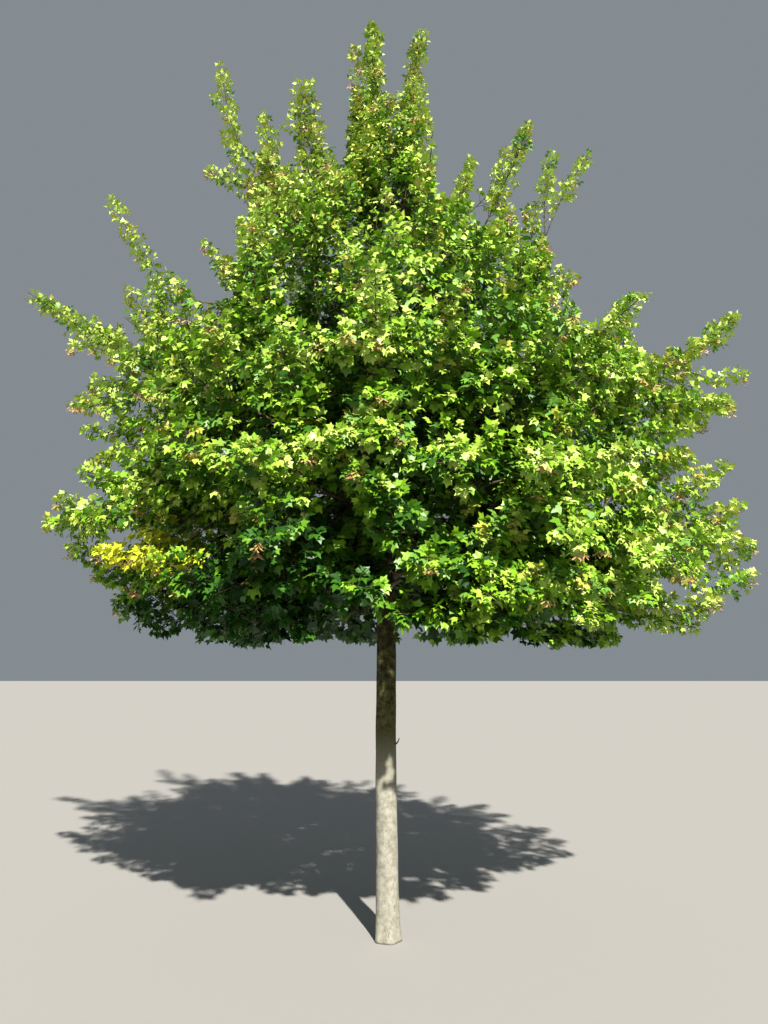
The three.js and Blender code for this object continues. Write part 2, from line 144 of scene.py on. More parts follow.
def waves(random, angle, height, turns, climbs, count):
    """A relief of the given number of random waves round and up a stem, from -1 to 1 or so."""
    total = np.zeros(np.broadcast(angle, height).shape)
    for _ in range(count):
        turn = random.integers(*turns)
        climb = random.uniform(*climbs) * random.choice([-1, 1])
        total += np.sin(turn * angle + climb * height + random.uniform(0, 2 * math.pi))
    return total / math.sqrt(count)


def mesh_piece(name, vertices, faces, material, flat_faces=()):
    """One object of the given vertices and triangles, smooth but for the triangles named flat."""
    loop_starts = np.arange(0, faces.size, faces.shape[1], dtype=np.int32)
    smooth = np.ones(len(faces), bool)
    smooth[list(flat_faces)] = False
    mesh = bpy.data.meshes.new(name)
    mesh.vertices.add(len(vertices))
    mesh.vertices.foreach_set("co", vertices.astype(np.float32).ravel())
    mesh.loops.add(faces.size)
    mesh.loops.foreach_set("vertex_index", faces.astype(np.int32).ravel())
    mesh.polygons.add(len(faces))
    mesh.polygons.foreach_set("loop_start", loop_starts)
    mesh.polygons.foreach_set("use_smooth", smooth)
    mesh.update(calc_edges=True)
    mesh.materials.append(material)
    piece = bpy.data.objects.new(name, mesh)
    bpy.context.collection.objects.link(piece)
    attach(piece, "root")
    return piece


def tube_faces(rings, sides):
    """The faces of a closed tube whose vertices run ring by ring, with its two end middles last."""
    ring = np.arange(rings - 1)[:, None] * sides
    side = np.arange(sides)[None, :]
    ahead = (side + 1) % sides
    walls = np.stack([ring + side, ring + ahead, ring + sides + ahead, ring + sides + side], -1)
    walls = walls.reshape(-1, 4)
    walls = np.concatenate([walls[:, [0, 1, 2]], walls[:, [0, 2, 3]]])
    first = np.stack([np.full(sides, rings * sides), ahead[0], side[0]], -1)
    top = (rings - 1) * sides
    last = np.stack([np.full(sides, rings * sides + 1), top + side[0], top + ahead[0]], -1)
    return np.concatenate([walls, first, last])


def node(tree, kind, source, socket, **values):
    """A shader node fed by a source. A value that isn't one of its own settings is that of its input."""
    made = tree.nodes.new(kind)
    tree.links.new(source, made.inputs[socket])
    for name, value in values.items():
        if hasattr(made, name):
            setattr(made, name, value)
        else:
            made.inputs[name].default_value = value
    return made


def ramp(tree, factor, stops):
    """A colour ramp over a factor, through the two given places and colours."""
    made = node(tree, "ShaderNodeValToRGB", factor, "Fac")
    for element, (place, colour) in zip(made.color_ramp.elements, stops):
        element.position = place
        element.color = (*colour, 1)
    return made.outputs["Color"]


def grey(level):
    return (level, level, level)


def noise(tree, place, **values):
    """The strength of a noise over a place."""
    return node(tree, "ShaderNodeTexNoise", place, "Vector", **values).outputs["Fac"]


def scaled_sum(tree, source, factor, added):
    """A source's values times a factor, plus those of another source."""
    made = node(tree, "ShaderNodeMath", source, 0, operation="MULTIPLY_ADD")
    made.inputs[1].default_value = factor
    tree.links.new(added, made.inputs[2])
    return made.outputs["Value"]


def paint_over(tree, cover, under, paint):
    """The colours under, with one colour or a socket's colours painted over them where cover is 1."""
    made = tree.nodes.new("ShaderNodeMix")
    made.data_type = "RGBA"
    tree.links.new(cover, made.inputs["Factor"])
    by_name = {(socket.name, socket.type): socket for socket in made.inputs}
    tree.links.new(under, by_name["A", "RGBA"])
    if isinstance(paint, tuple):
        by_name["B", "RGBA"].default_value = (*paint, 1)
    else:
        tree.links.new(paint, by_name["B", "RGBA"])
    return next(socket for socket in made.outputs if socket.type == "RGBA")


def bark_material(name, pale, dark, crack, brown, deep_shade_brown, brown_from, brown_to):
    """Bark with pale patches, specks and fine upright cracks, and browner and darker above a height, which is
    partly the bark's own colour and partly painted shade.
    """
    material = bpy.data.materials.new(name)
    material.use_nodes = True
    tree = material.node_tree
    shader = tree.nodes["Principled BSDF"]
    shader.inputs["Roughness"].default_value = 0.88
    shader.inputs["Specular IOR Level"].default_value = 0.2
    place = tree.nodes.new("ShaderNodeTexCoord").outputs["Object"]
    upright = node(tree, "ShaderNodeMapping", place, "Vector", Scale=(1, 1, 0.3)).outputs["Vector"]
    grain = noise(tree, upright, Scale=150, Detail=7, Roughness=0.65)
    patches = noise(tree, place, Scale=32, Detail=7, Roughness=0.7)
    specks = noise(tree, place, Scale=330, Detail=3)
    skin = ramp(tree, patches, [(0.34, dark), (0.66, pale)])
    speckled = paint_over(tree, ramp(tree, specks, [(0.56, grey(0)), (0.75, grey(0.6))]), skin, pale)
    cracked = paint_over(tree, ramp(tree, grain, [(0.32, grey(1)), (0.44, grey(0))]), speckled, crack)
    height = node(tree, "ShaderNodeSeparateXYZ", place, "Vector").outputs["Z"]
    wander = scaled_sum(tree, patches, BROWN_WANDERS, height)
    climb = node(tree, "ShaderNodeMapRange", wander, "Value")
    climb.inputs["From Min"].default_value = brown_from
    climb.inputs["From Max"].default_value = brown_to
    brown_flecks = ramp(tree, specks, [(0.4, grey(1)), (0.7, grey(0.93))])
    # Painted shade: the brown darkens upwards towards its deepest colour, as the crown's shade deepens.
    shade_darkening = scaled_sum(tree, height, PAINTED_SHADE_UPWARDS, patches)
    mottled_shade = ramp(tree, shade_darkening, [(0.05, deep_shade_brown), (0.32, brown)])
    cover = node(tree, "ShaderNodeMath", climb.outputs["Result"], 0, operation="MULTIPLY")
    tree.links.new(brown_flecks, cover.inputs[1])
    browned_and_shaded = paint_over(tree, cover.outputs["Value"], cracked, mottled_shade)
    tree.links.new(browned_and_shaded, shader.inputs["Base Color"])
    bump = node(tree, "ShaderNodeBump", grain, "Height", Strength=0.45, Distance=0.0025)
    tree.links.new(bump.outputs["Normal"], shader.inputs["Normal"])
    return material


# The trunk's brown, and its deepest brown, nearly black, are partly the bark's own colour and partly painted
# shade of the crown.
bark = bark_material(
    "bark", pale=(0.37, 0.36, 0.305), dark=(0.19, 0.183, 0.142), crack=(0.145, 0.13, 0.086),
    brown=(0.105, 0.108, 0.032), deep_shade_brown=(0.015, 0.012, 0.001), brown_from=1.1, brown_to=1.35,
)
trunk_top = np.array([*TRUNK_LEAN, FORK_HEIGHT])
trunk_line = limb_line(np.zeros(3), trunk_top, 0, TRUNK_SWAY, TRUNK_SWAY_PHASE)
relief = np.random.default_rng(11)
ring_share = (np.arange(TRUNK_RINGS) / (TRUNK_RINGS - 1))[:, None]
turn = (2 * math.pi * np.arange(TRUNK_SIDES) / TRUNK_SIDES)[None, :]
ring_height = ring_share * FORK_HEIGHT
cracks = waves(relief, turn, ring_height, turns=(9, 34), climbs=(2, 22), count=26)
lumps = waves(relief, turn, ring_height, turns=(1, 6), climbs=(6, 26), count=12)
fine = waves(relief, turn, ring_height, turns=(14, 50), climbs=(60, 260), count=24)
radius = trunk_radius(ring_height, turn)
radius = radius - CRACK_DEPTH * np.clip(cracks - CRACK_FROM, 0, DEEPEST_CRACK)
radius = radius + LUMP_HEIGHT * lumps * (0.5 + 0.5 * np.exp(-ring_height)) + FINE_RELIEF * fine
for scar_height, scar_angle in SCARS:
    across = (np.mod(turn - scar_angle + math.pi, 2 * math.pi) - math.pi) * TRUNK_FOOT_RADIUS
    off = np.hypot(across, SCAR_FLATNESS * (ring_height - scar_height)) / SCAR_SIZE
    pit = SCAR_PIT_DEPTH * SCAR_RISE * np.exp(-((SCAR_PIT_NARROWER * off) ** 2))
    radius = radius + SCAR_RISE * np.exp(-(off**2)) - pit
middle = limb_point(trunk_line, ring_share[:, 0])
dome = np.sqrt(np.clip((FORK_HEIGHT - ring_height) / TOP_DOME, DOME_END, 1))
radius = radius * dome
skin_x = middle[:, None, 0] + radius * np.cos(turn)
skin_y = middle[:, None, 1] + radius * np.sin(turn)
trunk_skin = np.stack([skin_x, skin_y, np.broadcast_to(ring_height, radius.shape)], -1)
trunk_ends = np.array([[0, 0, 0], [middle[-1, 0], middle[-1, 1], FORK_HEIGHT]])
trunk_faces = tube_faces(TRUNK_RINGS, TRUNK_SIDES)
cut_faces = len(trunk_faces) - 2 * TRUNK_SIDES + np.arange(TRUNK_SIDES)
trunk_vertices = np.concatenate([trunk_skin.reshape(-1, 3), trunk_ends])
trunk = mesh_piece("trunk_bark", trunk_vertices, trunk_faces, bark, cut_faces)
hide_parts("trunk")

# The limbs: 26 boughs that leave the trunk, four shoots that grow straight from it near the top, and the two
# leaders above its fork. Each is one tapering limb of young brown wood, with a collar where it leaves the
# trunk and a slight swelling at each pair of twigs, and it runs on as the stem of its mass of foliage.

# A tier has the height of its first limb's foot, the step from one foot to the next, the bare share of its
# limbs, their radius at the foot and arch, how far the foliage stands out to the sides, and the length of
# the sprays along a limb and at its tip. A limb is the azimuth in degrees, reach and height of its tip.
TIERS = {
    "skirt": dict(
        foot=1.73, climb=0.032, bare=0.2, radius=0.012, arch=0.11, spread=0.76, spray=0.62, tip_spray=0.3,
        limbs=[(356, 1.8, 1.7), (56, 1.65, 1.8), (112, 1.65, 1.76),
               (172, 1.48, 1.69), (232, 1.56, 1.78), (292, 1.52, 1.74)],
    ),
    "low": dict(
        foot=1.96, climb=0.038, bare=0.2, radius=0.015, arch=0.06, spread=0.82, spray=0.64, tip_spray=0.29,
        limbs=[(350, 2.01, 2.15), (40, 1.95, 2.45), (100, 1.9, 2.38), (150, 1.98, 2.4),
               (196, 1.78, 2.26), (250, 1.78, 2.4), (308, 1.8, 2.42)],
    ),
    "middle": dict(
        foot=2.26, climb=0.044, bare=0.2, radius=0.017, arch=-0.06, spread=0.78, spray=0.62, tip_spray=0.23,
        limbs=[(0, 2.16, 3.56), (43, 1.85, 3.56), (90, 1.85, 3.3), (138, 1.8, 3.36),
               (175, 2.23, 3.72), (222, 1.74, 3.1), (268, 1.7, 3.12), (316, 1.74, 3.2)],
    ),
    "high": dict(
        foot=2.66, climb=0.06, bare=0.17, radius=0.014, arch=-0.13, spread=0.6, spray=0.52, tip_spray=0.19,
        limbs=[(9, 1.35, 4.7), (70, 1.15, 4.15), (128, 1.2, 4.25), (196, 1.59, 4.05), (284, 0.98, 3.95)],
    ),
    "top": dict(
        foot=3.06, climb=0.095, bare=0, radius=0.011, arch=-0.15, spread=0.4, spray=0.36, tip_spray=0.165,
        limbs=[(338, 0.92, 4.6), (164, 1.14, 5.36), (37, 0.75, 4.82), (212, 0.56, 4.83)],
    ),
    "leader": dict(
        foot=FORK_HEIGHT, climb=0, bare=0, radius=0.01, arch=0, spread=0.38, spray=0.32, tip_spray=0.165,
        limbs=[(184, 0.09, 5.5), (4, 0.205, 5.41)],
    ),
}
LEADER_STEP = 0.011
LEADER_ROOT = 0.05
LAST_SPRAY = 0.85
LAST_LEAVES = 0.085
LIMB_SWAY = 0.026
SHOOT_SWAY = 0.013
LIMB_TAPER_POWER = 0.8
LIMB_TIP_RADIUS = 0.0022
STEM_STRETCHES = 4
LIMB_RINGS = 90
LIMB_SIDES = 8
COLLAR = 0.9
COLLAR_LENGTH = 0.03
NODE_SWELLING = 0.16
SWELLING_LENGTH = 0.012
TWIGS_END = 0.8
NODE_SPACING = 0.19
FIRST_NODE = 0.3
SHORTEST_END = 0.03

# The underside of the crown: its level, its wave, and how steeply it rises outwards at the front, which is
# more on the left than on the right. A limb is cut where it hangs below it or leaves the crown.
CROWN_FLOOR = 1.545
FLOOR_WAVE = 0.025
WAVE_RUNS = (4.1, 3.3)
FLOOR_RISE = 0.7
FLOOR_LEVEL_TO = 0.9
FRONT_BAND = (1.4, 0.2)
RIGHT_BAND = (2.5, 0.6)
SIDE_RISES = (0.9, 0.3)
LEAST_OUTSIDE = 8
LIMB_SLACK = -0.02
LOW_CUT_FROM = 0.5

# The edge of the full crown, seen from the front on the upright plane through the trunk: X and Z of its
# shoulders and of the notches between them. Only spires stand out of it.
CROWN_EDGE = (
    (-3, 1), (-3, 2.7), (-2.05, 2.7), (-1.85, 3.03), (-1.7, 3.38), (-1.42, 3.32), (-1.6, 3.6), (-1.55, 3.84),
    (-1.3, 3.82), (-1.1, 3.57), (-0.9, 3.64), (-0.92, 4.3), (-0.6, 4.6), (-0.35, 4.6), (-0.27, 4.4),
    (-0.22, 4.97), (-0.09, 5.03), (0.23, 5.03), (0.29, 4.73), (0.3, 4.3), (0.6, 4.08), (0.8, 4.24),
    (0.98, 4.31), (0.94, 4.03), (1.12, 3.69), (1.15, 3.45), (1.43, 3.45), (1.55, 3.28), (1.85, 3.24),
    (2.0, 3.07), (3, 3.03), (3, 1),
)

# The spires: the tip of each, a place lower on it, and how far its leaves stand out to each side. Each is
# a row of tufts that get slimmer towards the tip.
TUFT_STEP = 0.15
TUFT_DEPTH = 0.42
SPIRE_WIDTHS = (1.35, 0.8)
SPIRES = (
    ((-2.28, 0.19, 3.77), (-1.73, 0.15, 3.39), 0.08),
    ((-1.56, -0.44, 4.07), (-1.21, -0.2, 3.37), 0.07),
    ((-1.07, -0.3, 3.87), (-0.69, -0.13, 3.45), 0.06),
    ((-1.19, 0.3, 4.65), (-0.93, 0.2, 4.4), 0.06),
    ((-1.1, 0.31, 5.42), (-1, 0.2, 4.5), 0.1),
    ((-0.83, 0.35, 5.08), (-0.72, 0.2, 4.53), 0.06),
    ((-0.49, -0.3, 4.88), (-0.5, -0.2, 4.3), 0.12),
    ((-0.24, 0.1, 5.36), (-0.09, 0, 5.02), 0.07),
    ((-0.1, 0, 5.48), (-0.09, 0, 5.02), 0.07),
    ((0.23, 0, 5.42), (0.15, 0, 4.99), 0.08),
    ((0.58, 0.45, 4.82), (0.44, 0.35, 4.37), 0.05),
    ((0.76, 0.1, 4.69), (0.7, 0.1, 4.28), 0.08),
    ((0.83, -0.34, 4.59), (0.71, -0.25, 4.25), 0.05),
    ((1.06, 0.2, 4.73), (0.97, 0.2, 4.36), 0.07),
    ((1.32, 0.21, 4.72), (1.07, 0.2, 4.36), 0.06),
    ((1.11, -0.2, 3.71), (0.99, -0.2, 3.6), 0.05),
    ((1.53, 0.1, 3.73), (1.32, 0.1, 3.4), 0.08),
    ((2.12, 0, 3.55), (1.79, 0, 3.21), 0.08),
    ((2.12, -0.1, 3.15), (1.87, -0.1, 3.04), 0.06),
)


def seeded(seed):
    """Random numbers from 0 to 1, the same in every run."""
    mask = 0xFFFFFFFF
    state = seed & mask

    def draw():
        nonlocal state
        state = (state + 0x6D2B79F5) & mask
        t = state
        t = ((t ^ (t >> 15)) * (t | 1)) & mask
        t ^= (t + (((t ^ (t >> 7)) * (t | 61)) & mask)) & mask
        return (t ^ (t >> 14)) / 4294967296

    return draw


def repeated(faces, count, step):
    """The faces of one piece again for each of count copies, whose vertices lie a step apart."""
    return (faces[None] + (np.arange(count) * step)[:, None, None]).reshape(-1, 3)


def all_round(along, aside, sides):
    """The directions from the middle of a line to each of so many sides round it."""
    across = unit(np.cross(along, aside))
    over = np.cross(along, across)
    corner = 2 * math.pi * np.arange(sides)[:, None] / sides
    return across[..., None, :] * np.cos(corner) + over[..., None, :] * np.sin(corner)


def tubes(points, radii, sides):
    """Closed tubes along lines that all have as many rings: their vertices and faces."""
    count, rings = radii.shape
    along = unit(np.gradient(points, axis=1))
    chord = unit(points[:, -1] - points[:, 0])
    aside = np.where(np.abs(chord[:, 2:]) < 0.8, UP, [1.0, 0.0, 0.0])[:, None]
    ring = all_round(along, aside, sides)
    walls = (points[:, :, None] + radii[:, :, None, None] * ring).reshape(count, rings * sides, 3)
    vertices = np.concatenate([walls, points[:, [0, -1]]], 1)
    return vertices.reshape(-1, 3), repeated(tube_faces(rings, sides), count, vertices.shape[1])


def level_way(angle):
    """The level direction at an angle from +X."""
    return np.array([math.cos(angle), math.sin(angle), 0.0])


def ease_in(t):
    """A smooth rise from 0 to 1."""
    share = np.clip(t, 0, 1)
    return share * share * (3 - 2 * share)


def grown_limb(tier_name, order, index):
    """The line of a limb, with the places of its stem, as in the solids."""
    tier = TIERS[tier_name]
    azimuth, reach, tip_height = tier["limbs"][order]
    outwards = level_way(math.radians(azimuth))
    foot = limb_point(trunk_line, (tier["foot"] + tier["climb"] * order) / FORK_HEIGHT)[0]
    if tier_name == "leader":
        foot = foot + LEADER_STEP * outwards
    tip = reach * outwards + tip_height * UP
    tip = tip - LAST_SPRAY * tier["tip_spray"] * unit(tip - foot)
    sway = LIMB_SWAY if tier["bare"] else SHOOT_SWAY
    line = limb_line(foot, tip, tier["arch"], sway, 2 * math.pi * seeded(index + 1)())
    stem = limb_point(line, mix(tier["bare"], 1, np.arange(STEM_STRETCHES + 1) / STEM_STRETCHES))
    leafy = np.linalg.norm(np.diff(stem, axis=0), axis=1).sum()
    nodes = max(3, int(math.floor(TWIGS_END * leafy / NODE_SPACING + 0.5)))
    return {**tier, "tier": tier_name, "name": f"{tier_name}_{order + 1}", "index": index, "line": line,
            "stem": stem, "leafy": leafy, "nodes": nodes, "end": unit(stem[-1] - stem[-2])}


def crown_floor(places):
    """The lowest that foliage hangs at places."""
    x, y = places[..., 0], places[..., 1]
    far = np.linalg.norm(places[..., :2], axis=-1)
    from_middle = np.maximum(far, 0.1)
    front = ease_in(-FRONT_BAND[0] * y / from_middle - FRONT_BAND[1])
    side = mix(*SIDE_RISES, ease_in(RIGHT_BAND[0] * x / from_middle - RIGHT_BAND[1]))
    wave = 1 + np.sin(WAVE_RUNS[0] * x + 1) * np.cos(WAVE_RUNS[1] * y)
    rise = FLOOR_RISE * front * side * np.maximum(0, far - FLOOR_LEVEL_TO)
    return CROWN_FLOOR + FLOOR_WAVE * wave + rise


def seen_from_front(places):
    """Where places show from the front, as X and Z on the upright plane through the trunk."""
    places = np.asarray(places, float)
    reach = -EYE[1] / (places[..., 1] - EYE[1])
    x = EYE[0] + (places[..., 0] - EYE[0]) * reach
    z = EYE[2] + (places[..., 2] - EYE[2]) * reach
    return x, z


def in_crown(places, slack):
    """Whether places are inside the edge of the crown, or near a spire."""
    x, z = seen_from_front(places)
    inside = np.zeros(x.shape, bool)
    for (x0, z0), (x1, z1) in zip(CROWN_EDGE, CROWN_EDGE[1:] + CROWN_EDGE[:1]):
        if z0 != z1:
            inside ^= ((z0 > z) != (z1 > z)) & (x < x0 + (z - z0) * (x1 - x0) / (z1 - z0))
    for tip, low_place, width in SPIRES:
        (tip_x, tip_z), (low_x, low_z) = seen_from_front(tip), seen_from_front(low_place)
        run_x, run_z = tip_x - low_x, tip_z - low_z
        share = np.clip(((x - low_x) * run_x + (z - low_z) * run_z) / (run_x**2 + run_z**2), 0, 1)
        tufts = 1 + TUFT_DEPTH * np.sin(2 * math.pi * (1 - share) * math.hypot(run_x, run_z) / TUFT_STEP)
        aside = np.hypot(x - low_x - share * run_x, z - low_z - share * run_z)
        inside |= aside < width * mix(*SPIRE_WIDTHS, share) * tufts + slack
    return inside


def point_at(place, far, points):
    return np.array([np.interp(place, far, points[:, k]) for k in range(3)])


def limb_path(limb, rings):
    """The middle of a limb's wood from the trunk to the end of its last shoot, and the share at each ring."""
    wood = np.linalg.norm(limb["line"]["tip"] - limb["line"]["foot"])
    beyond = max(SHORTEST_END, LAST_SPRAY * limb["tip_spray"] - LAST_LEAVES)
    share = np.linspace(0, 1 + beyond / wood, rings)
    path = limb_point(limb["line"], np.minimum(share, 1))
    path = path + np.maximum(share - 1, 0)[:, None] * wood * limb["end"]
    if limb["tier"] == "leader":
        path[0] -= LEADER_ROOT * UP
    too_low = (path[:, 2] < crown_floor(path)) & (share > LOW_CUT_FROM)
    outside = ~in_crown(path, LIMB_SLACK) | too_low
    if outside.mean() * LIMB_RINGS > LEAST_OUTSIDE:
        kept = np.linspace(0, np.argmax(outside), rings)
        path = point_at(kept, np.arange(rings), path).T
        share = np.interp(kept, np.arange(rings), share)
    limb["wood_share"] = share[-1]
    return path, share


limbs = []
for tier_name, tier in TIERS.items():
    for order in range(len(tier["limbs"])):
        limbs.append(grown_limb(tier_name, order, len(limbs)))

limb_paths = []
limb_radii = []
for limb in limbs:
    path, share = limb_path(limb, LIMB_RINGS)
    taper = np.minimum(share / share[-1], 1) ** LIMB_TAPER_POWER
    thickness = mix(limb["radius"], LIMB_TIP_RADIUS, taper)
    trunk_middle = limb_point(trunk_line, np.clip(path[:, 2] / FORK_HEIGHT, 0, 1))
    from_bark = np.linalg.norm((path - trunk_middle)[:, :2], axis=1) - trunk_radius(path[:, 2], 0.0)
    thickness = thickness * (1 + COLLAR * np.exp(-np.maximum(from_bark, 0) / COLLAR_LENGTH))
    leafy_share = (share - limb["bare"]) / (1 - limb["bare"])
    for pair in range(limb["nodes"]):
        off = leafy_share - TWIGS_END * (pair + FIRST_NODE) / limb["nodes"]
        off = off * limb["leafy"] / SWELLING_LENGTH
        thickness = thickness * (1 + NODE_SWELLING * np.exp(-(off**2)))
    limb_paths.append(path)
    limb_radii.append(thickness)

bough_bark = bark_material(
    "bough_bark", pale=(0.13, 0.11, 0.065), dark=(0.08, 0.068, 0.038), crack=(0.045, 0.036, 0.02),
    brown=(0.1, 0.09, 0.045), deep_shade_brown=(0.1, 0.09, 0.045), brown_from=2.5, brown_to=4.5,
)
bough_mesh = tubes(np.array(limb_paths), np.array(limb_radii), LIMB_SIDES)
boughs = mesh_piece("boughs_and_stems", *bough_mesh, bough_bark)
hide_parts(*[f"bough_{limb['name']}" for limb in limbs if limb["bare"]])

# The dead twig: what is left of a small shoot on the right of the trunk, a metre up. It is thin bare wood,
# grown from the trunk, and it curls up at its end.
DEAD_TWIG_FOOT = np.array([0.04, -0.02, 1.03])
DEAD_TWIG_RUN = np.array([0.034, -0.012, 0.008])
DEAD_TWIG_BEND = np.array([-0.01, -0.004, 0.026])
DEAD_TWIG_RADII = (0.006, 0.0022)
DEAD_TWIG_RINGS = 6
DEAD_TWIG_SIDES = 8

dead_share = np.linspace(0, 1, DEAD_TWIG_RINGS)[None, :]
dead_line = DEAD_TWIG_FOOT + dead_share[..., None] * DEAD_TWIG_RUN
dead_line = dead_line + dead_share[..., None] ** 2 * DEAD_TWIG_BEND
dead_mesh = tubes(dead_line, mix(*DEAD_TWIG_RADII, dead_share), DEAD_TWIG_SIDES)
dead_twig = mesh_piece("dead_twig", *dead_mesh, bough_bark)

# The twigs: pairs of side twigs along each stem, each pair a quarter turn on from the last, as on every
# maple. They bear finer twigs in the same way, and the finer ones carry the leaves. Towards the tip of a
# limb they get shorter, so that the shoot ends in a slim spire.
TWIG_ANGLE = (1.05, 0.7)
ANGLE_VARIES = 0.2
ROLL_VARIES = 0.8
TWIG_LIFT = (0.1, 0.24)
TWIG_REACH = (0.8, 0.35)
UPRIGHT_REACH = (0.85, 0.2)
TWIG_SPRAY = 0.6
FOOT_FULLNESS = 0.75
FULL_FROM = 0.25
SPIRE_START = 0.55
SPIRE_LENGTH = 0.3
SPIRE_SHARE = 0.3
SPRAY_SHRINKS = (0.25, 0.6)
SHORTEST_TWIG = 0.06
SEEDS_OF_LIMB = 4096
TWIG_RADIUS = 0.0042
TWIG_END_RADIUS = 0.0015
TWIG_RINGS = 8
TWIG_SIDES = 4
TWIG_VARIES = (0.86, 1.02)
TWIG_DROOP = (0.03, 0.05)
TWIG_SWAY = 0.018
TWIG_SWAY_TURNS = 2.4 * math.pi
TWIG_ABOVE_FLOOR = 0.05
TWIG_SHRINK = 0.85
LEAST_SHRUNK = 0.1
NEARLY_UP = UP + 1e-3

# Twigs in between the pairs of the solids: how long they are, and what sets their seeds apart.
BETWEEN = 0.6
TOP_BETWEEN = 0.85
BETWEEN_NUMBER = 1000

# The finer twigs, which stand closer together higher up.
FINE_SPACING = 0.054
CLOSER_FROM = (2.6, 3.6)
CLOSER = (1.0, 0.8)
FINE_ANGLE = (0.92, 0.14)
FINE_ROLL_VARIES = 0.3
FINE_LIFT = (0.12, 0.1)
FINE_DROOP = (0.06, 0.08)
FINE_LENGTH = 0.38
FINE_VARIES = (0.7, 1.15)
FINE_SHORTEST = 0.03
FINE_PROFILE = ((0.0, 0.12, 0.4, 0.75, 1.0), (0.35, 0.55, 1.0, 0.62, 0.2))
FINE_RADIUS = 0.0019
FINE_END_SHARE = 0.6
FINE_RINGS = 3
FINE_SIDES = 3
BARE_END = 0.02
STEEP_SHARE = 0.62
SPIRE_TWIG = 0.12
SPIRE_TWIG_SPACING = 0.045
SPIRE_TWIG_SHARE = 1.7

# Sprays that fill out the crown where limbs are far apart: the way that a group of them grows, and the tip
# of each. In turn they are on the right, on the left, hanging low, low at the front, on the shoulders and
# at the back.
SPRAY_GROUPS = (
    ((0.32, 0, 0.12), (
        (2.09, 0, 2.14), (1.99, -0.2, 1.95), (2.07, 0.1, 2.39), (1.98, 0, 2.61), (2.06, 0.1, 3),
        (1.75, -0.3, 1.81), (2.08, 0.3, 2.27), (1.95, -0.1, 2.97), (1.72, 0, 2.7), (1.62, -0.15, 2.62),
        (1.52, 0.2, 2.75), (1.85, 0, 2.86), (1.74, -0.15, 2.8),
    )),
    ((-0.32, 0, 0.1), (
        (-2, 0.1, 2.29), (-1.87, -0.1, 2.39), (-1.82, 0, 2.12), (-1.62, -0.1, 1.98), (-1.78, 0, 2.58),
        (-1.81, 0.1, 2.84), (-1.88, 0, 3), (-1.56, 0.1, 1.8), (-1.58, 0, 2.1), (-1.52, -0.2, 2.06),
        (-1.34, -0.3, 2), (-1.5, -0.5, 2.05), (-1.28, -0.65, 2.03), (-1.62, 0.05, 2.7),
        (-1.58, -0.1, 2.52), (-1.5, 0.25, 2.6),
    )),
    ((-0.03, 0, -0.24), ((-0.85, -0.45, 1.62),)),
    ((-0.06, -0.35, -0.13), (
        (0.06, -1, 1.7), (0.24, -0.95, 1.73), (0.41, -0.95, 1.79), (0.55, -1.1, 1.85), (0.69, -1.35, 1.74),
        (0.9, -1.25, 1.82), (1.15, -1, 1.78), (1.17, -1.1, 1.95), (0.78, -1.45, 1.98), (0.18, -1.2, 1.94),
        (1.49, -0.7, 1.94), (0.62, -1.1, 1.66), (0.37, -1, 1.65), (0.98, -0.9, 1.68),
    )),
    ((-0.06, -0.07, 0.35), (
        (-0.52, -0.2, 4.72), (-0.72, -0.35, 4.1), (-0.58, -0.45, 4.2), (-0.44, -0.5, 4.12),
        (-0.32, -0.5, 4.22), (-0.66, -0.6, 3.92), (-0.5, -0.65, 3.95), (-0.36, -0.65, 3.9),
        (-0.8, -0.45, 3.9), (-0.6, -0.1, 4.4), (-0.4, -0.2, 4.45), (-1, 0.2, 4.78), (0.5, -0.45, 4),
        (0.66, -0.45, 3.95), (0.8, -0.4, 3.9), (0.58, -0.6, 3.8),
    )),
    ((0, 0.3, 0.05), ((-0.35, 1.25, 2.62), (-0.5, 1, 2.45), (-0.2, 1, 2.5))),
)
SPRAY_TWIG = 0.16

# Upright shoots all over the top of the crown and in its middle column: how many, where their feet and tips
# are, and the length of their finer twigs. A shoot starts from the nearest wood, rather below than above it.
CROWN_SHOOTS = 130
CROWN_SHOOT_FEET = (2.9, 4.2)
CROWN_SHOOT_OUT = (0.35, 0.9)
CROWN_SHOOT_LENGTH = (0.35, 0.55)
CROWN_SHOOT_LEAN = 0.35
CROWN_SHOOT_TWIG = 0.15
CROWN_SHOOT_FROM_WOOD = 0.25
DEPTH_SHARE = 0.75
COLUMN_SHOOTS = 32
COLUMN_RADIUS = (0.12, 0.3)
COLUMN_TIPS = (4.3, 5.06)
COLUMN_SHOOT_LENGTH = 0.5
COLUMN_FEET = 0.6
COLUMN_TWIG = 0.14
SHOOT_RADIUS = 0.0034
SHOOT_BEND = 0.15
SHOOT_SHRINK = 0.8
SHORTEST_SHOOT = 0.1
BARE_FOOT = 0.03
WOOD_ABOVE = 0.5
SPIRE_TIP = 0.05

# How far the full crown reaches out from the trunk, at heights from its underside to its top.
CROWN_HEIGHTS = (1.5, 2.4, 3.4, 3.9, 4.2, 4.5, 4.9, 5.5)
CROWN_RADII = (1.75, 2.05, 1.9, 1.3, 0.72, 0.38, 0.22, 0.12)


def stem_point(limb, share):
    """A place along a stem, whose wood is straight between the rings of the solid."""
    place = np.clip(share, 0, 1) * STEM_STRETCHES
    stretch = min(STEM_STRETCHES - 1, int(place))
    return mix(limb["stem"][stretch], limb["stem"][stretch + 1], place - stretch)


def fullness(share):
    """How far the foliage stands out from a stem at a share of its length: wide at first, then a spire."""
    wide = FOOT_FULLNESS + (1 - FOOT_FULLNESS) * ease_in(share / FULL_FROM)
    return mix(wide, SPIRE_SHARE, ease_in((share - SPIRE_START) / SPIRE_LENGTH))


def sideways(along, side, angle, roll):
    """A direction at an angle from a line's own, turned by roll about it: at roll 0 it goes off level."""
    level = unit(np.cross(np.cross(along, side), along))
    steep = np.cross(along, level)
    return math.cos(angle) * along + math.sin(angle) * (math.cos(roll) * level + math.sin(roll) * steep)


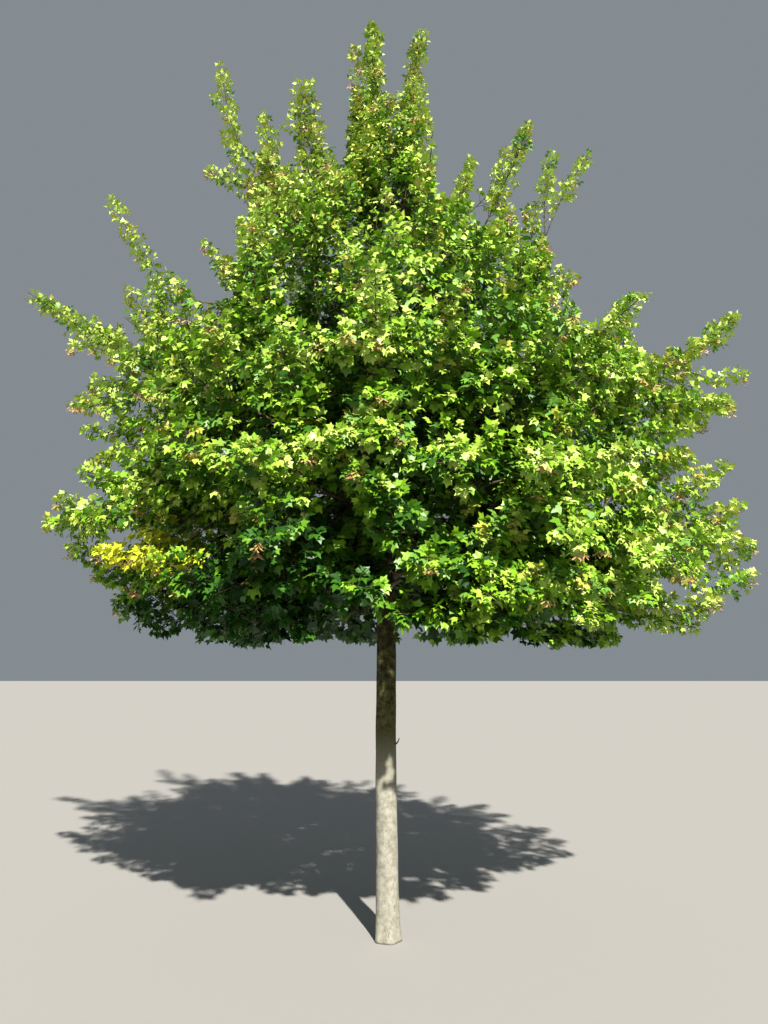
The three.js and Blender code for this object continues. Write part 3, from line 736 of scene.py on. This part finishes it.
def side_twig(limb, pair, side, share):
    """A side twig by the rule of the solids: its foot, direction, length, and the spray at its end."""
    random = seeded((limb["index"] + 1) * SEEDS_OF_LIMB + pair * 2 + side)
    roll = (pair % 2) * math.pi / 2 + side * math.pi + (random() - 0.5) * ROLL_VARIES
    along = unit(stem_point(limb, share + 1e-4) - stem_point(limb, share - 1e-4))
    angle = mix(*TWIG_ANGLE, share) + (random() - 0.5) * ANGLE_VARIES
    direction = sideways(along, limb["line"]["side"], angle, roll)
    reach = limb["spread"] * fullness(share)
    reach = reach * (UPRIGHT_REACH[0] + UPRIGHT_REACH[1] * direction[2])
    reach = reach * (TWIG_REACH[0] + TWIG_REACH[1] * random())
    lift = mix(*TWIG_LIFT, random())
    shrunk = ease_in((share - SPRAY_SHRINKS[0]) / SPRAY_SHRINKS[1])
    spray = mix(limb["spray"], limb["tip_spray"], shrunk)
    whole = max(SHORTEST_TWIG, reach - TWIG_SPRAY * spray) + spray
    foot = limb_point(limb["line"], mix(limb["bare"], 1, share))[0]
    return foot, unit(direction + lift * UP), whole, spray


def curved(foot, direction, length, droop, rings):
    """The points of a twig that bends down, or with a negative droop up, towards its tip."""
    share = np.linspace(0, 1, rings)[:, None]
    return foot + direction * length * share - UP * droop * length * share**2


def pointed_twigs(points, radius, end_share, sides):
    """Twigs of three rings, the last of which is a point: their vertices and faces."""
    ring = all_round(unit(points[:, 2] - points[:, 0]), NEARLY_UP, sides)
    foot = points[:, None, 0] + radius * ring
    bend = points[:, None, 1] + mix(1.0, end_share, 0.5) * radius * ring
    vertices = np.concatenate([foot, bend, points[:, 2:]], 1)
    side = np.arange(sides)
    ahead = (side + 1) % sides
    walls = np.concatenate([
        np.stack([side, ahead, sides + ahead], -1),
        np.stack([side, sides + ahead, sides + side], -1),
        np.stack([sides + side, sides + ahead, np.full(sides, 2 * sides)], -1),
        [[0, 2, 1]],
    ])
    return vertices.reshape(-1, 3), repeated(walls, len(points), vertices.shape[1])


growth = np.random.default_rng(23)

# Every twig as its points, its radius at the foot and the number of its spray. The tip of a limb's stem is
# among the side twigs with no radius, since its wood is there already.
twigs = []
fine_twigs = []
spray_count = 0


def along_line(points):
    """The length of each step of a line, and how far along it each of its points is."""
    steps = np.linalg.norm(np.diff(points, axis=0), axis=1)
    return steps, np.concatenate([[0], np.cumsum(steps)])


def add_fine_twigs(points, spacing, longest, first, roll_start):
    """Pairs of finer twigs along a twig or a spire, each pair a quarter turn on from the last."""
    global spray_count
    _, far = along_line(points)
    side = unit(np.cross(points[-1] - points[0], NEARLY_UP))
    pair = 0
    place = first
    while place < far[-1] - BARE_END:
        spray_count += 1
        share = place / far[-1]
        foot = point_at(place, far, points)
        along = unit(point_at(min(place + BARE_END, far[-1]), far, points) - foot)
        steep = (pair + roll_start) % 2
        whole = longest * np.interp(share, *FINE_PROFILE) * (STEEP_SHARE if steep else 1)
        for facing in (0, 1):
            roll = steep * math.pi / 2 + facing * math.pi + growth.normal(0, FINE_ROLL_VARIES)
            direction = sideways(along, side, growth.normal(*FINE_ANGLE), roll)
            direction = unit(direction + UP * growth.normal(*FINE_LIFT))
            length = max(FINE_SHORTEST, whole * growth.uniform(*FINE_VARIES))
            tip = foot + direction * length
            if tip[2] < crown_floor(tip) or not in_crown(tip, 0.0):
                continue
            fine = curved(foot, direction, length, growth.normal(*FINE_DROOP), FINE_RINGS)
            fine_twigs.append((fine, FINE_RADIUS, spray_count))
        pair += 1
        place += spacing * np.interp(foot[2], CLOSER_FROM, CLOSER) * growth.uniform(0.8, 1.2)


for limb in limbs:
    between_share = TOP_BETWEEN if limb["tier"] in ("top", "leader") else BETWEEN
    for half_pair in range(2 * limb["nodes"]):
        pair = half_pair // 2
        between = half_pair % 2
        share = TWIGS_END * (half_pair / 2 + FIRST_NODE) / limb["nodes"]
        if mix(limb["bare"], 1, share) > limb["wood_share"]:
            continue
        for side in (0, 1):
            number = pair + BETWEEN_NUMBER * between
            foot, direction, whole, spray = side_twig(limb, number, side, share)
            whole = (whole - LAST_LEAVES) * growth.uniform(*TWIG_VARIES)
            if between:
                whole = whole * between_share
            points = curved(foot, direction, whole, growth.normal(*TWIG_DROOP), TWIG_RINGS)
            sway = unit(np.cross(direction, UP)) * growth.normal(0, TWIG_SWAY) * whole
            share_along = np.linspace(0, 1, TWIG_RINGS)[:, None]
            points = points + sway * np.sin(TWIG_SWAY_TURNS * share_along)
            points[:, 2] = np.maximum(points[:, 2], crown_floor(points) + TWIG_ABOVE_FLOOR)
            while whole > LEAST_SHRUNK and not np.all(in_crown(points[1:], 0.01)):
                points = foot + TWIG_SHRINK * (points - foot)
                whole *= TWIG_SHRINK
            if not np.all(in_crown(points[1:], 0.02)):
                continue
            spray_count += 1
            twigs.append((points, TWIG_RADIUS * min(1, 0.55 + 0.6 * whole), spray_count))
            add_fine_twigs(points, FINE_SPACING, FINE_LENGTH * spray, 0.1 + 0.03 * whole, pair + side)
    path, share = limb_path(limb, 60)
    spire = path[(share - limb["bare"]) / (1 - limb["bare"]) > SPIRE_START]
    if len(spire) < TWIG_RINGS:
        continue
    add_fine_twigs(spire, SPIRE_TWIG_SPACING, SPIRE_TWIG, 0.0, limb["index"])
    spray_count += 1
    twigs.append((spire[np.linspace(0, len(spire) - 1, TWIG_RINGS).astype(int)], 0.0, spray_count))

wood = np.concatenate(limb_paths)


def add_shoot(tip, low_place, longest, farthest=1.0):
    """A shoot to a tip, from the nearest limb by way of a place lower on it, with its finer twigs."""
    global spray_count
    while not in_crown(tip, 0.0):
        tip = low_place + SHOOT_SHRINK * (tip - low_place)
        if np.linalg.norm(tip - low_place) < SHORTEST_SHOOT:
            return
    apart = np.linalg.norm(wood - low_place, axis=1)
    above = np.maximum(0, wood[:, 2] - low_place[2])
    foot = wood[np.argmin(apart + WOOD_ABOVE * above)]
    if np.linalg.norm(foot - low_place) > farthest:
        return
    share = np.linspace(0, 1, TWIG_RINGS)[:, None]
    bend = low_place + SHOOT_BEND * (tip - low_place)
    points = (1 - share) ** 2 * foot + 2 * share * (1 - share) * bend + share**2 * tip
    if farthest < 1 and not np.all(in_crown(points, 0.02)):
        return
    spray_count += 1
    twigs.append((points, SHOOT_RADIUS, spray_count))
    add_fine_twigs(points, SPIRE_TWIG_SPACING, longest, BARE_FOOT, 0)


for tip, low_place, width in SPIRES:
    tip, low_place = np.array(tip), np.array(low_place)
    tip = tip - SPIRE_TIP * unit(tip - low_place)
    add_shoot(tip, low_place, SPIRE_TWIG_SHARE * width)
for way, tips in SPRAY_GROUPS:
    for tip in np.array(tips):
        add_shoot(tip, tip - way, SPRAY_TWIG)
for _ in range(CROWN_SHOOTS):
    outwards = level_way(growth.uniform(0, 2 * math.pi)) * [1, DEPTH_SHARE, 1]
    height = growth.uniform(*CROWN_SHOOT_FEET)
    far = growth.uniform(*CROWN_SHOOT_OUT) * np.interp(height, CROWN_HEIGHTS, CROWN_RADII)
    low_place = far * outwards + height * UP
    run = growth.uniform(*CROWN_SHOOT_LENGTH) * unit(UP + CROWN_SHOOT_LEAN * outwards)
    add_shoot(low_place + run, low_place, CROWN_SHOOT_TWIG, CROWN_SHOOT_FROM_WOOD)
for _ in range(COLUMN_SHOOTS):
    outwards = level_way(growth.uniform(0, 2 * math.pi))
    aside = growth.uniform(*COLUMN_RADIUS) * outwards
    tip = aside + growth.uniform(*COLUMN_TIPS) * UP
    add_shoot(tip, COLUMN_FEET * aside + (tip[2] - COLUMN_SHOOT_LENGTH) * UP, COLUMN_TWIG)


side_points = np.array([points for points, radius, _ in twigs if radius])
side_feet = np.array([radius for _, radius, _ in twigs if radius])
side_radii = mix(side_feet[:, None], TWIG_END_RADIUS, np.linspace(0, 1, TWIG_RINGS)[None, :])
fine_points = np.array([points for points, _, _ in fine_twigs])
for name, (vertices, faces) in {
    "side_twigs": tubes(side_points, side_radii, TWIG_SIDES),
    "fine_twigs": pointed_twigs(fine_points, FINE_RADIUS, FINE_END_SHARE, FINE_SIDES),
}.items():
    piece = mesh_piece(name, vertices, faces, bough_bark)

# The leaves: thin satin blades with pointed lobes, on stalks in opposite pairs along each twig and three at
# its tip. Low in the crown a blade has five lobes. It is simpler inside and higher up, and small with three
# lobes above 3.4 m. It droops at its points, and turns its face up and outwards to the light.
LEAF_HALF = ((0.42, 0.0, -0.03), (0.35, 0.2, 0.05), (0.6, 0.5, -0.06), (0.26, 0.57, 0.06))
SIMPLE_LEAF_HALF = ((0.4, 0.02, -0.03), (0.56, 0.5, -0.05), (0.23, 0.56, 0.05))
HIGH_LEAF_HALF = ((0.5, 0.28, -0.05), (0.27, 0.52, 0.05))
LEAF_TIP = (0.0, 1.0, -0.1)
SIMPLE_ABOVE = 2.5
SIMPLE_WITHIN = 0.62
THREE_LOBES_ABOVE = 3.4
STALK = 0.42
STALK_VARIES = (0.7, 1.3)
STALK_WIDTH = 0.0009
LEAF_SIZE = (0.039, 0.057)
SIZE_HEIGHTS = (1.5, 2.4, 3.6, 5.5)
SIZE_SHARES = (1.0, 0.88, 0.76, 0.72)
AGE_SIZES = (0.74, 1.2)
INNER_SIZE = 1.3
FIRST_PAIR = 0.012
FIRST_GAP = 0.022
GAP_GROWTH = 1.3
GAP_VARIES = (0.8, 1.2)
LONGEST_GAP = 0.045
OLD_FROM = 0.09
LEAFY_FROM = 0.3
SIDE_LEAFY_FROM = 0.4
INNER_LEAVES = 0.21
INNER_BAND = (0.15, 0.45)
PAIR_ANGLE = 0.95
TIP_ANGLES = (0.15, 0.8, 0.8)
LEAF_ANGLE_VARIES = 0.18
LEAF_ROLL_VARIES = 0.35
DROOP = 0.32
RUN_VARIES = 0.18
FACE_UP = 0.85
FACE_OUT = (0.65, 0.35)
FACE_VARIES = 0.36
CURL = (0.3, 1.8)
EDGE_FRAY = 0.035
LEAF_BELOW_FLOOR = 0.01

# A spray is the leaves of two finer twigs, and has one green. The ladder of greens, from leaves_shade to
# leaves_sunny, is partly the leaves' own colour and partly painted light and shade: the green is deep inside
# and underneath, where shade leaves are truly a deeper green and painted shade stands in for the crown's own
# shadow, and yellow-green with painted sunlight at the outside and towards the top. Its young leaves are a
# shade lighter and its old ones a shade darker. A few sprays are bluer or warmer, and most of those on one
# low bough on the left are yellow.
GREENS = {
    "leaves_shade": (0.012, 0.055, 0.004),
    "leaves_deep": (0.034, 0.125, 0.007),
    "leaves_mid": (0.1, 0.25, 0.01),
    "leaves_fresh": (0.205, 0.395, 0.018),
    "leaves_light": (0.325, 0.51, 0.055),
    "leaves_sunny": (0.47, 0.61, 0.125),
    "leaves_blue": (0.12, 0.28, 0.035),
    "leaves_warm": (0.38, 0.42, 0.06),
    "leaves_yellow": (0.52, 0.58, 0.03),
}
GREEN_STEPS = (0.28, 0.46, 0.64, 0.84, 1.04)
GREEN_VARIES = 0.17
LOW_GREENS = 1.6
# Painted light: the higher a spray, the lighter its green.
PAINTED_LIGHT_UPWARDS = 0.1
# Painted shade: sprays within this height of the crown's underside get deeper greens, by these amounts on the
# left and on the right.
UNDERSIDE_SHADE_BAND = 0.55
UNDERSIDE_PAINTED_SHADE = (0.62, 0.05)
YOUNG = 0.2
GROWN = 0.6
BLUE_BELOW = 0.1
WARM_FROM = 0.94
WARM_FROM_HIGH = 0.83
WARM_HIGH = 3.6
YELLOW_SHARE = 0.75
YELLOW_PLACE = np.array([-1.35, -0.55, 2.04])
YELLOW_SIZE = np.array([0.36, 0.42, 0.13])
LEAF_ROUGHNESS = 0.44

# Flecks of sun reach these places on the trunk, because no leaf hangs in the way of the light to them.
SUN_AZIMUTH = math.radians(-74)
SUN_HEIGHT = math.radians(41)
SUN_FLECKS = ((-0.03, -0.05, 1.51), (0.03, -0.05, 1.44), (-0.03, -0.05, 1.33), (0.012, -0.05, 0.94),
              (0.012, -0.05, 0.87))
FLECK_CLEAR = 0.036

to_sun = math.cos(SUN_HEIGHT) * level_way(SUN_AZIMUTH) + math.sin(SUN_HEIGHT) * UP
leaf_random = np.random.default_rng(41)


def plain_material(name, colour, roughness):
    """One plain colour, as rough as given."""
    material = bpy.data.materials.new(name)
    material.use_nodes = True
    shader = material.node_tree.nodes["Principled BSDF"]
    shader.inputs["Base Color"].default_value = (*colour, 1)
    shader.inputs["Roughness"].default_value = roughness
    return material


def out_share(places):
    """How far out in the crown places are: 0 at the trunk and 1 at the outside, at their height."""
    return np.linalg.norm(places[:, :2], axis=1) / np.interp(places[:, 2], CROWN_HEIGHTS, CROWN_RADII)


def leaf_nodes(shoots, leafy_from):
    """Where leaves sit: root, run of the twig, roll about it, angle, spray and age, which is 0 at the tip."""
    places = []
    for points, _, spray in shoots:
        steps, far = along_line(points)
        start_roll = leaf_random.uniform(0, math.pi)
        run = points[-1] - points[-2]
        for third, angle in enumerate(TIP_ANGLES):
            roll = start_roll + 0.8 + third * 2 * math.pi / 3
            places.append((*points[-1], *run, roll, angle, spray, 0.0))
        from_tip = FIRST_PAIR
        gap = FIRST_GAP
        while from_tip < (1 - leafy_from) * far[-1]:
            place = far[-1] - from_tip
            step = min(np.searchsorted(far, place, side="right") - 1, len(steps) - 1)
            root = mix(points[step], points[step + 1], (place - far[step]) / steps[step])
            run = points[step + 1] - points[step]
            start_roll += math.pi / 2
            age = min(1, from_tip / OLD_FROM)
            for side in (0, 1):
                places.append((*root, *run, start_roll + side * math.pi, PAIR_ANGLE, spray, age))
            from_tip += gap * leaf_random.uniform(*GAP_VARIES)
            gap = min(gap * GAP_GROWTH, LONGEST_GAP)
    return np.array(places)


places = np.concatenate([leaf_nodes(fine_twigs, LEAFY_FROM), leaf_nodes(twigs, SIDE_LEAFY_FROM)])
outness = out_share(places[:, :3])
leafiness = np.clip(mix(INNER_LEAVES, 1, (outness - INNER_BAND[0]) / INNER_BAND[1]), INNER_LEAVES, 1)
kept = leaf_random.random(len(places)) < leafiness
places, outness = places[kept], outness[kept]
count = len(places)
roots = places[:, :3]
runs = unit(places[:, 3:6])
rolls = places[:, 6] + leaf_random.normal(0, LEAF_ROLL_VARIES, count)
angles = places[:, 7] + leaf_random.normal(0, LEAF_ANGLE_VARIES, count)
sprays = places[:, 8].astype(int)
ages = places[:, 9]
sizes = leaf_random.uniform(*LEAF_SIZE, count) * np.interp(roots[:, 2], SIZE_HEIGHTS, SIZE_SHARES)
sizes = sizes * mix(*AGE_SIZES, ages) * mix(INNER_SIZE, 1, ease_in((outness - 0.45) / 0.4))

level = unit(np.cross(runs, NEARLY_UP))
steep = np.cross(level, runs)
radial = np.cos(rolls)[:, None] * level + np.sin(rolls)[:, None] * steep
stalk_run = np.cos(angles)[:, None] * runs + np.sin(angles)[:, None] * radial
blade_root = roots + stalk_run * (STALK * sizes * leaf_random.uniform(*STALK_VARIES, count))[:, None]
blade_run = unit(stalk_run - DROOP * UP + leaf_random.normal(0, RUN_VARIES, (count, 3)))
outwards = unit(roots * [1, 1, 0])
face_out = mix(*FACE_OUT, ease_in((roots[:, 2:] - 1.6) / 3))
face = FACE_UP * UP + face_out * outwards + leaf_random.normal(0, FACE_VARIES, (count, 3))
face = unit(face - (face * blade_run).sum(1, keepdims=True) * blade_run)
across = np.cross(blade_run, face)
curl = leaf_random.uniform(*CURL, count)

spray_numbers, first_leaf = np.unique(sprays, return_index=True)
spray_place = np.zeros((sprays.max() + 1, 3))
spray_place[spray_numbers] = roots[first_leaf]
# Painted light and shade: a spray's green is lighter the farther out and the higher it sits, and darker just
# above the crown's underside.
spray_out_and_light = out_share(spray_place) + PAINTED_LIGHT_UPWARDS * (spray_place[:, 2] - LOW_GREENS)
underside_shade = 1 - ease_in((spray_place[:, 2] - crown_floor(spray_place)) / UNDERSIDE_SHADE_BAND)
underside_shade = underside_shade * mix(*UNDERSIDE_PAINTED_SHADE, ease_in(0.5 + spray_place[:, 0]))
spray_out_and_light = spray_out_and_light - underside_shade + leaf_random.normal(0, GREEN_VARIES, len(spray_out_and_light))
shade = np.digitize(spray_out_and_light, GREEN_STEPS)
green_names = list(GREENS)
dice = leaf_random.random(len(shade))
spray_green = np.full(len(shade), -1)
spray_green[(dice < BLUE_BELOW) & (shade > 1)] = green_names.index("leaves_blue")
warm_from = np.where(spray_place[:, 2] > WARM_HIGH, WARM_FROM_HIGH, WARM_FROM)
spray_green[(dice > warm_from) & (shade > 2)] = green_names.index("leaves_warm")
in_yellow = (((spray_place - YELLOW_PLACE) / YELLOW_SIZE) ** 2).sum(1) < 1
spray_green[in_yellow & (dice < YELLOW_SHARE)] = green_names.index("leaves_yellow")
leaf_shade = np.clip(shade[sprays] + (ages < YOUNG) - (ages > GROWN), 0, len(GREEN_STEPS))
leaf_green = np.where(spray_green[sprays] < 0, leaf_shade, spray_green[sprays])

blades_of_green = {name: [] for name in GREENS}
high_up = roots[:, 2] > THREE_LOBES_ABOVE
simple = ((roots[:, 2] > SIMPLE_ABOVE) | (outness < SIMPLE_WITHIN)) & ~high_up
kinds = ((LEAF_HALF, ~simple & ~high_up), (SIMPLE_LEAF_HALF, simple), (HIGH_LEAF_HALF, high_up))
for half, chosen in kinds:
    half = np.array(half)
    outline = np.concatenate([[(0, 0, 0)], half, [LEAF_TIP], half[::-1] * [-1, 1, 1]])
    rim = len(outline)
    leaf_faces = np.array([(0, i, i + 1) for i in range(1, rim - 1)] + [(rim, rim + 1, 0)])
    offsets = (
        across[chosen, None] * outline[:, :1]
        + blade_run[chosen, None] * outline[:, 1:2]
        + face[chosen, None] * outline[:, 2:] * curl[chosen, None, None]
    )
    blades = blade_root[chosen, None] + sizes[chosen, None, None] * offsets
    stalk_sides = np.array([-STALK_WIDTH, STALK_WIDTH])[None, :, None]
    blades = np.concatenate([blades, roots[chosen, None] + across[chosen, None] * stalk_sides], 1)
    low, high, middles = blades.min(1), blades.max(1), blades.mean(1)
    inside = np.all(low > solid_low, axis=1) & np.all(high < solid_high, axis=1)
    inside &= low[:, 2] > crown_floor(low) - LEAF_BELOW_FLOOR
    inside &= in_crown(middles, leaf_random.uniform(0.0, EDGE_FRAY, len(blades)))
    for fleck in SUN_FLECKS:
        off_ray = (middles - fleck) - ((middles - fleck) @ to_sun)[:, None] * to_sun
        inside &= np.linalg.norm(off_ray, axis=1) > FLECK_CLEAR
    blades, greens = blades[inside], leaf_green[chosen][inside]
    for number, name in enumerate(GREENS):
        blades_of_green[name].append((blades[greens == number], leaf_faces))

foliage_nodes = [f"foliage_{limb['name']}" for limb in limbs]
for name, colour in GREENS.items():
    vertices, faces = [], []
    used = 0
    for blades, leaf_faces in blades_of_green[name]:
        vertices.append(blades.reshape(-1, 3))
        faces.append(used + repeated(leaf_faces, len(blades), blades.shape[1]))
        used += len(vertices[-1])
    green = plain_material(name, colour, LEAF_ROUGHNESS)
    piece = mesh_piece(name, np.concatenate(vertices), np.concatenate(faces), green)
    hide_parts(*foliage_nodes)

# The keys: pairs of papery winged seeds, tan and pink, that hang by fine threads in bunches from the ends of
# twigs at the outside of the crown. A key droops from its thread with its two wings spread.
KEYS_SHARE = 0.62
KEYS_FROM = 0.62
KEYS_ABOVE = 1.75
BUNCHES_AT = (1.0, 0.72)
PAIRS_IN_BUNCH = (6, 11)
SWING = 0.35
THREAD = (0.025, 0.055)
WING = 0.027
WING_WIDTH = 0.01
WING_SPREAD = 0.95
PINK_SHARE = 0.45
KEY_COLOURS = {"keys_tan": (0.46, 0.3, 0.1), "keys_pink": (0.48, 0.27, 0.12)}
KEY_ROUGHNESS = 0.6

# A wing's outline from the knot outwards, with the thread's other edge last. Corner 0 is where it is tied.
WING_OUTLINE = ((0, 0.12), (0.35, 0.3), (0.8, 0.62), (1.0, 0.3), (0.95, -0.05), (0.4, -0.12), (0, 0.02))
WING_FACES = np.array([(1, 2, 3), (1, 3, 4), (1, 4, 5), (1, 5, 6), (0, 1, 7)])

key_random = np.random.default_rng(59)
key_points = {name: [] for name in KEY_COLOURS}
for points in side_points:
    for share in BUNCHES_AT:
        hang = points[int(round(share * (TWIG_RINGS - 1)))]
        if key_random.random() > KEYS_SHARE or out_share(hang[None])[0] < KEYS_FROM:
            continue
        if not in_crown(hang, 0.0):
            continue
        hue = list(KEY_COLOURS)[int(key_random.random() < PINK_SHARE)]
        for _ in range(key_random.integers(*PAIRS_IN_BUNCH)):
            swing = key_random.normal(0, SWING, 2)
            fall = unit(np.array([swing[0], swing[1], -1.0]))
            knot = hang + fall * key_random.uniform(*THREAD)
            flat = level_way(key_random.uniform(0, 2 * math.pi))
            in_box = np.all(knot - WING >= solid_low) and np.all(knot + WING <= solid_high)
            if not in_box or knot[2] < KEYS_ABOVE:
                continue
            for hand in (-1, 1):
                run = unit(fall * math.cos(WING_SPREAD) + hand * flat * math.sin(WING_SPREAD))
                rib = unit(np.cross(np.cross(fall, flat), run))
                outline = [knot + WING * (run * u + rib * v * WING_WIDTH / WING) for u, v in WING_OUTLINE]
                key_points[hue].append([hang, *outline])
for name, colour in KEY_COLOURS.items():
    wings = np.array(key_points[name])
    faces = repeated(WING_FACES, len(wings), wings.shape[1])
    papery = plain_material(name, colour, KEY_ROUGHNESS)
    piece = mesh_piece(name, wings.reshape(-1, 3), faces, papery)

# The floor is plain and pale. A warm main light stands in front, a little to the right and halfway up, and a
# pale, weak light from all round keeps the inside of the crown dark.
FLOOR_HALF = 30.0
FLOOR_BELOW = 0.001
SUN_STRENGTH = 9.3
SUN_SOFTNESS = math.radians(1.0)
AMBIENT_STRENGTH = 0.29

corners = [(-1, -1), (1, -1), (1, 1), (-1, 1)]
floor_mesh = bpy.data.meshes.new("floor")
floor_corners = [(FLOOR_HALF * x, FLOOR_HALF * y, -FLOOR_BELOW) for x, y in corners]
floor_mesh.from_pydata(floor_corners, [], [(0, 1, 2, 3)])
floor = bpy.data.objects.new("floor", floor_mesh)
bpy.context.collection.objects.link(floor)
floor_mesh.materials.append(plain_material("floor", (0.3, 0.295, 0.285), 0.9))
floor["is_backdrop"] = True

sun_data = bpy.data.lights.new("main_light", "SUN")
sun_data.energy = SUN_STRENGTH
sun_data.angle = SUN_SOFTNESS
sun_data.color = (1.0, 0.95, 0.86)
sun = bpy.data.objects.new("main_light", sun_data)
sun.rotation_euler = (math.pi / 2 - SUN_HEIGHT, 0, SUN_AZIMUTH + math.pi / 2)
bpy.context.collection.objects.link(sun)

world = bpy.data.worlds.new("studio")
world.use_nodes = True
background = world.node_tree.nodes["Background"]
background.inputs["Color"].default_value = (0.8, 0.9, 0.98, 1)
background.inputs["Strength"].default_value = AMBIENT_STRENGTH
bpy.context.scene.world = world
bpy.context.scene.view_settings.view_transform = "Standard"
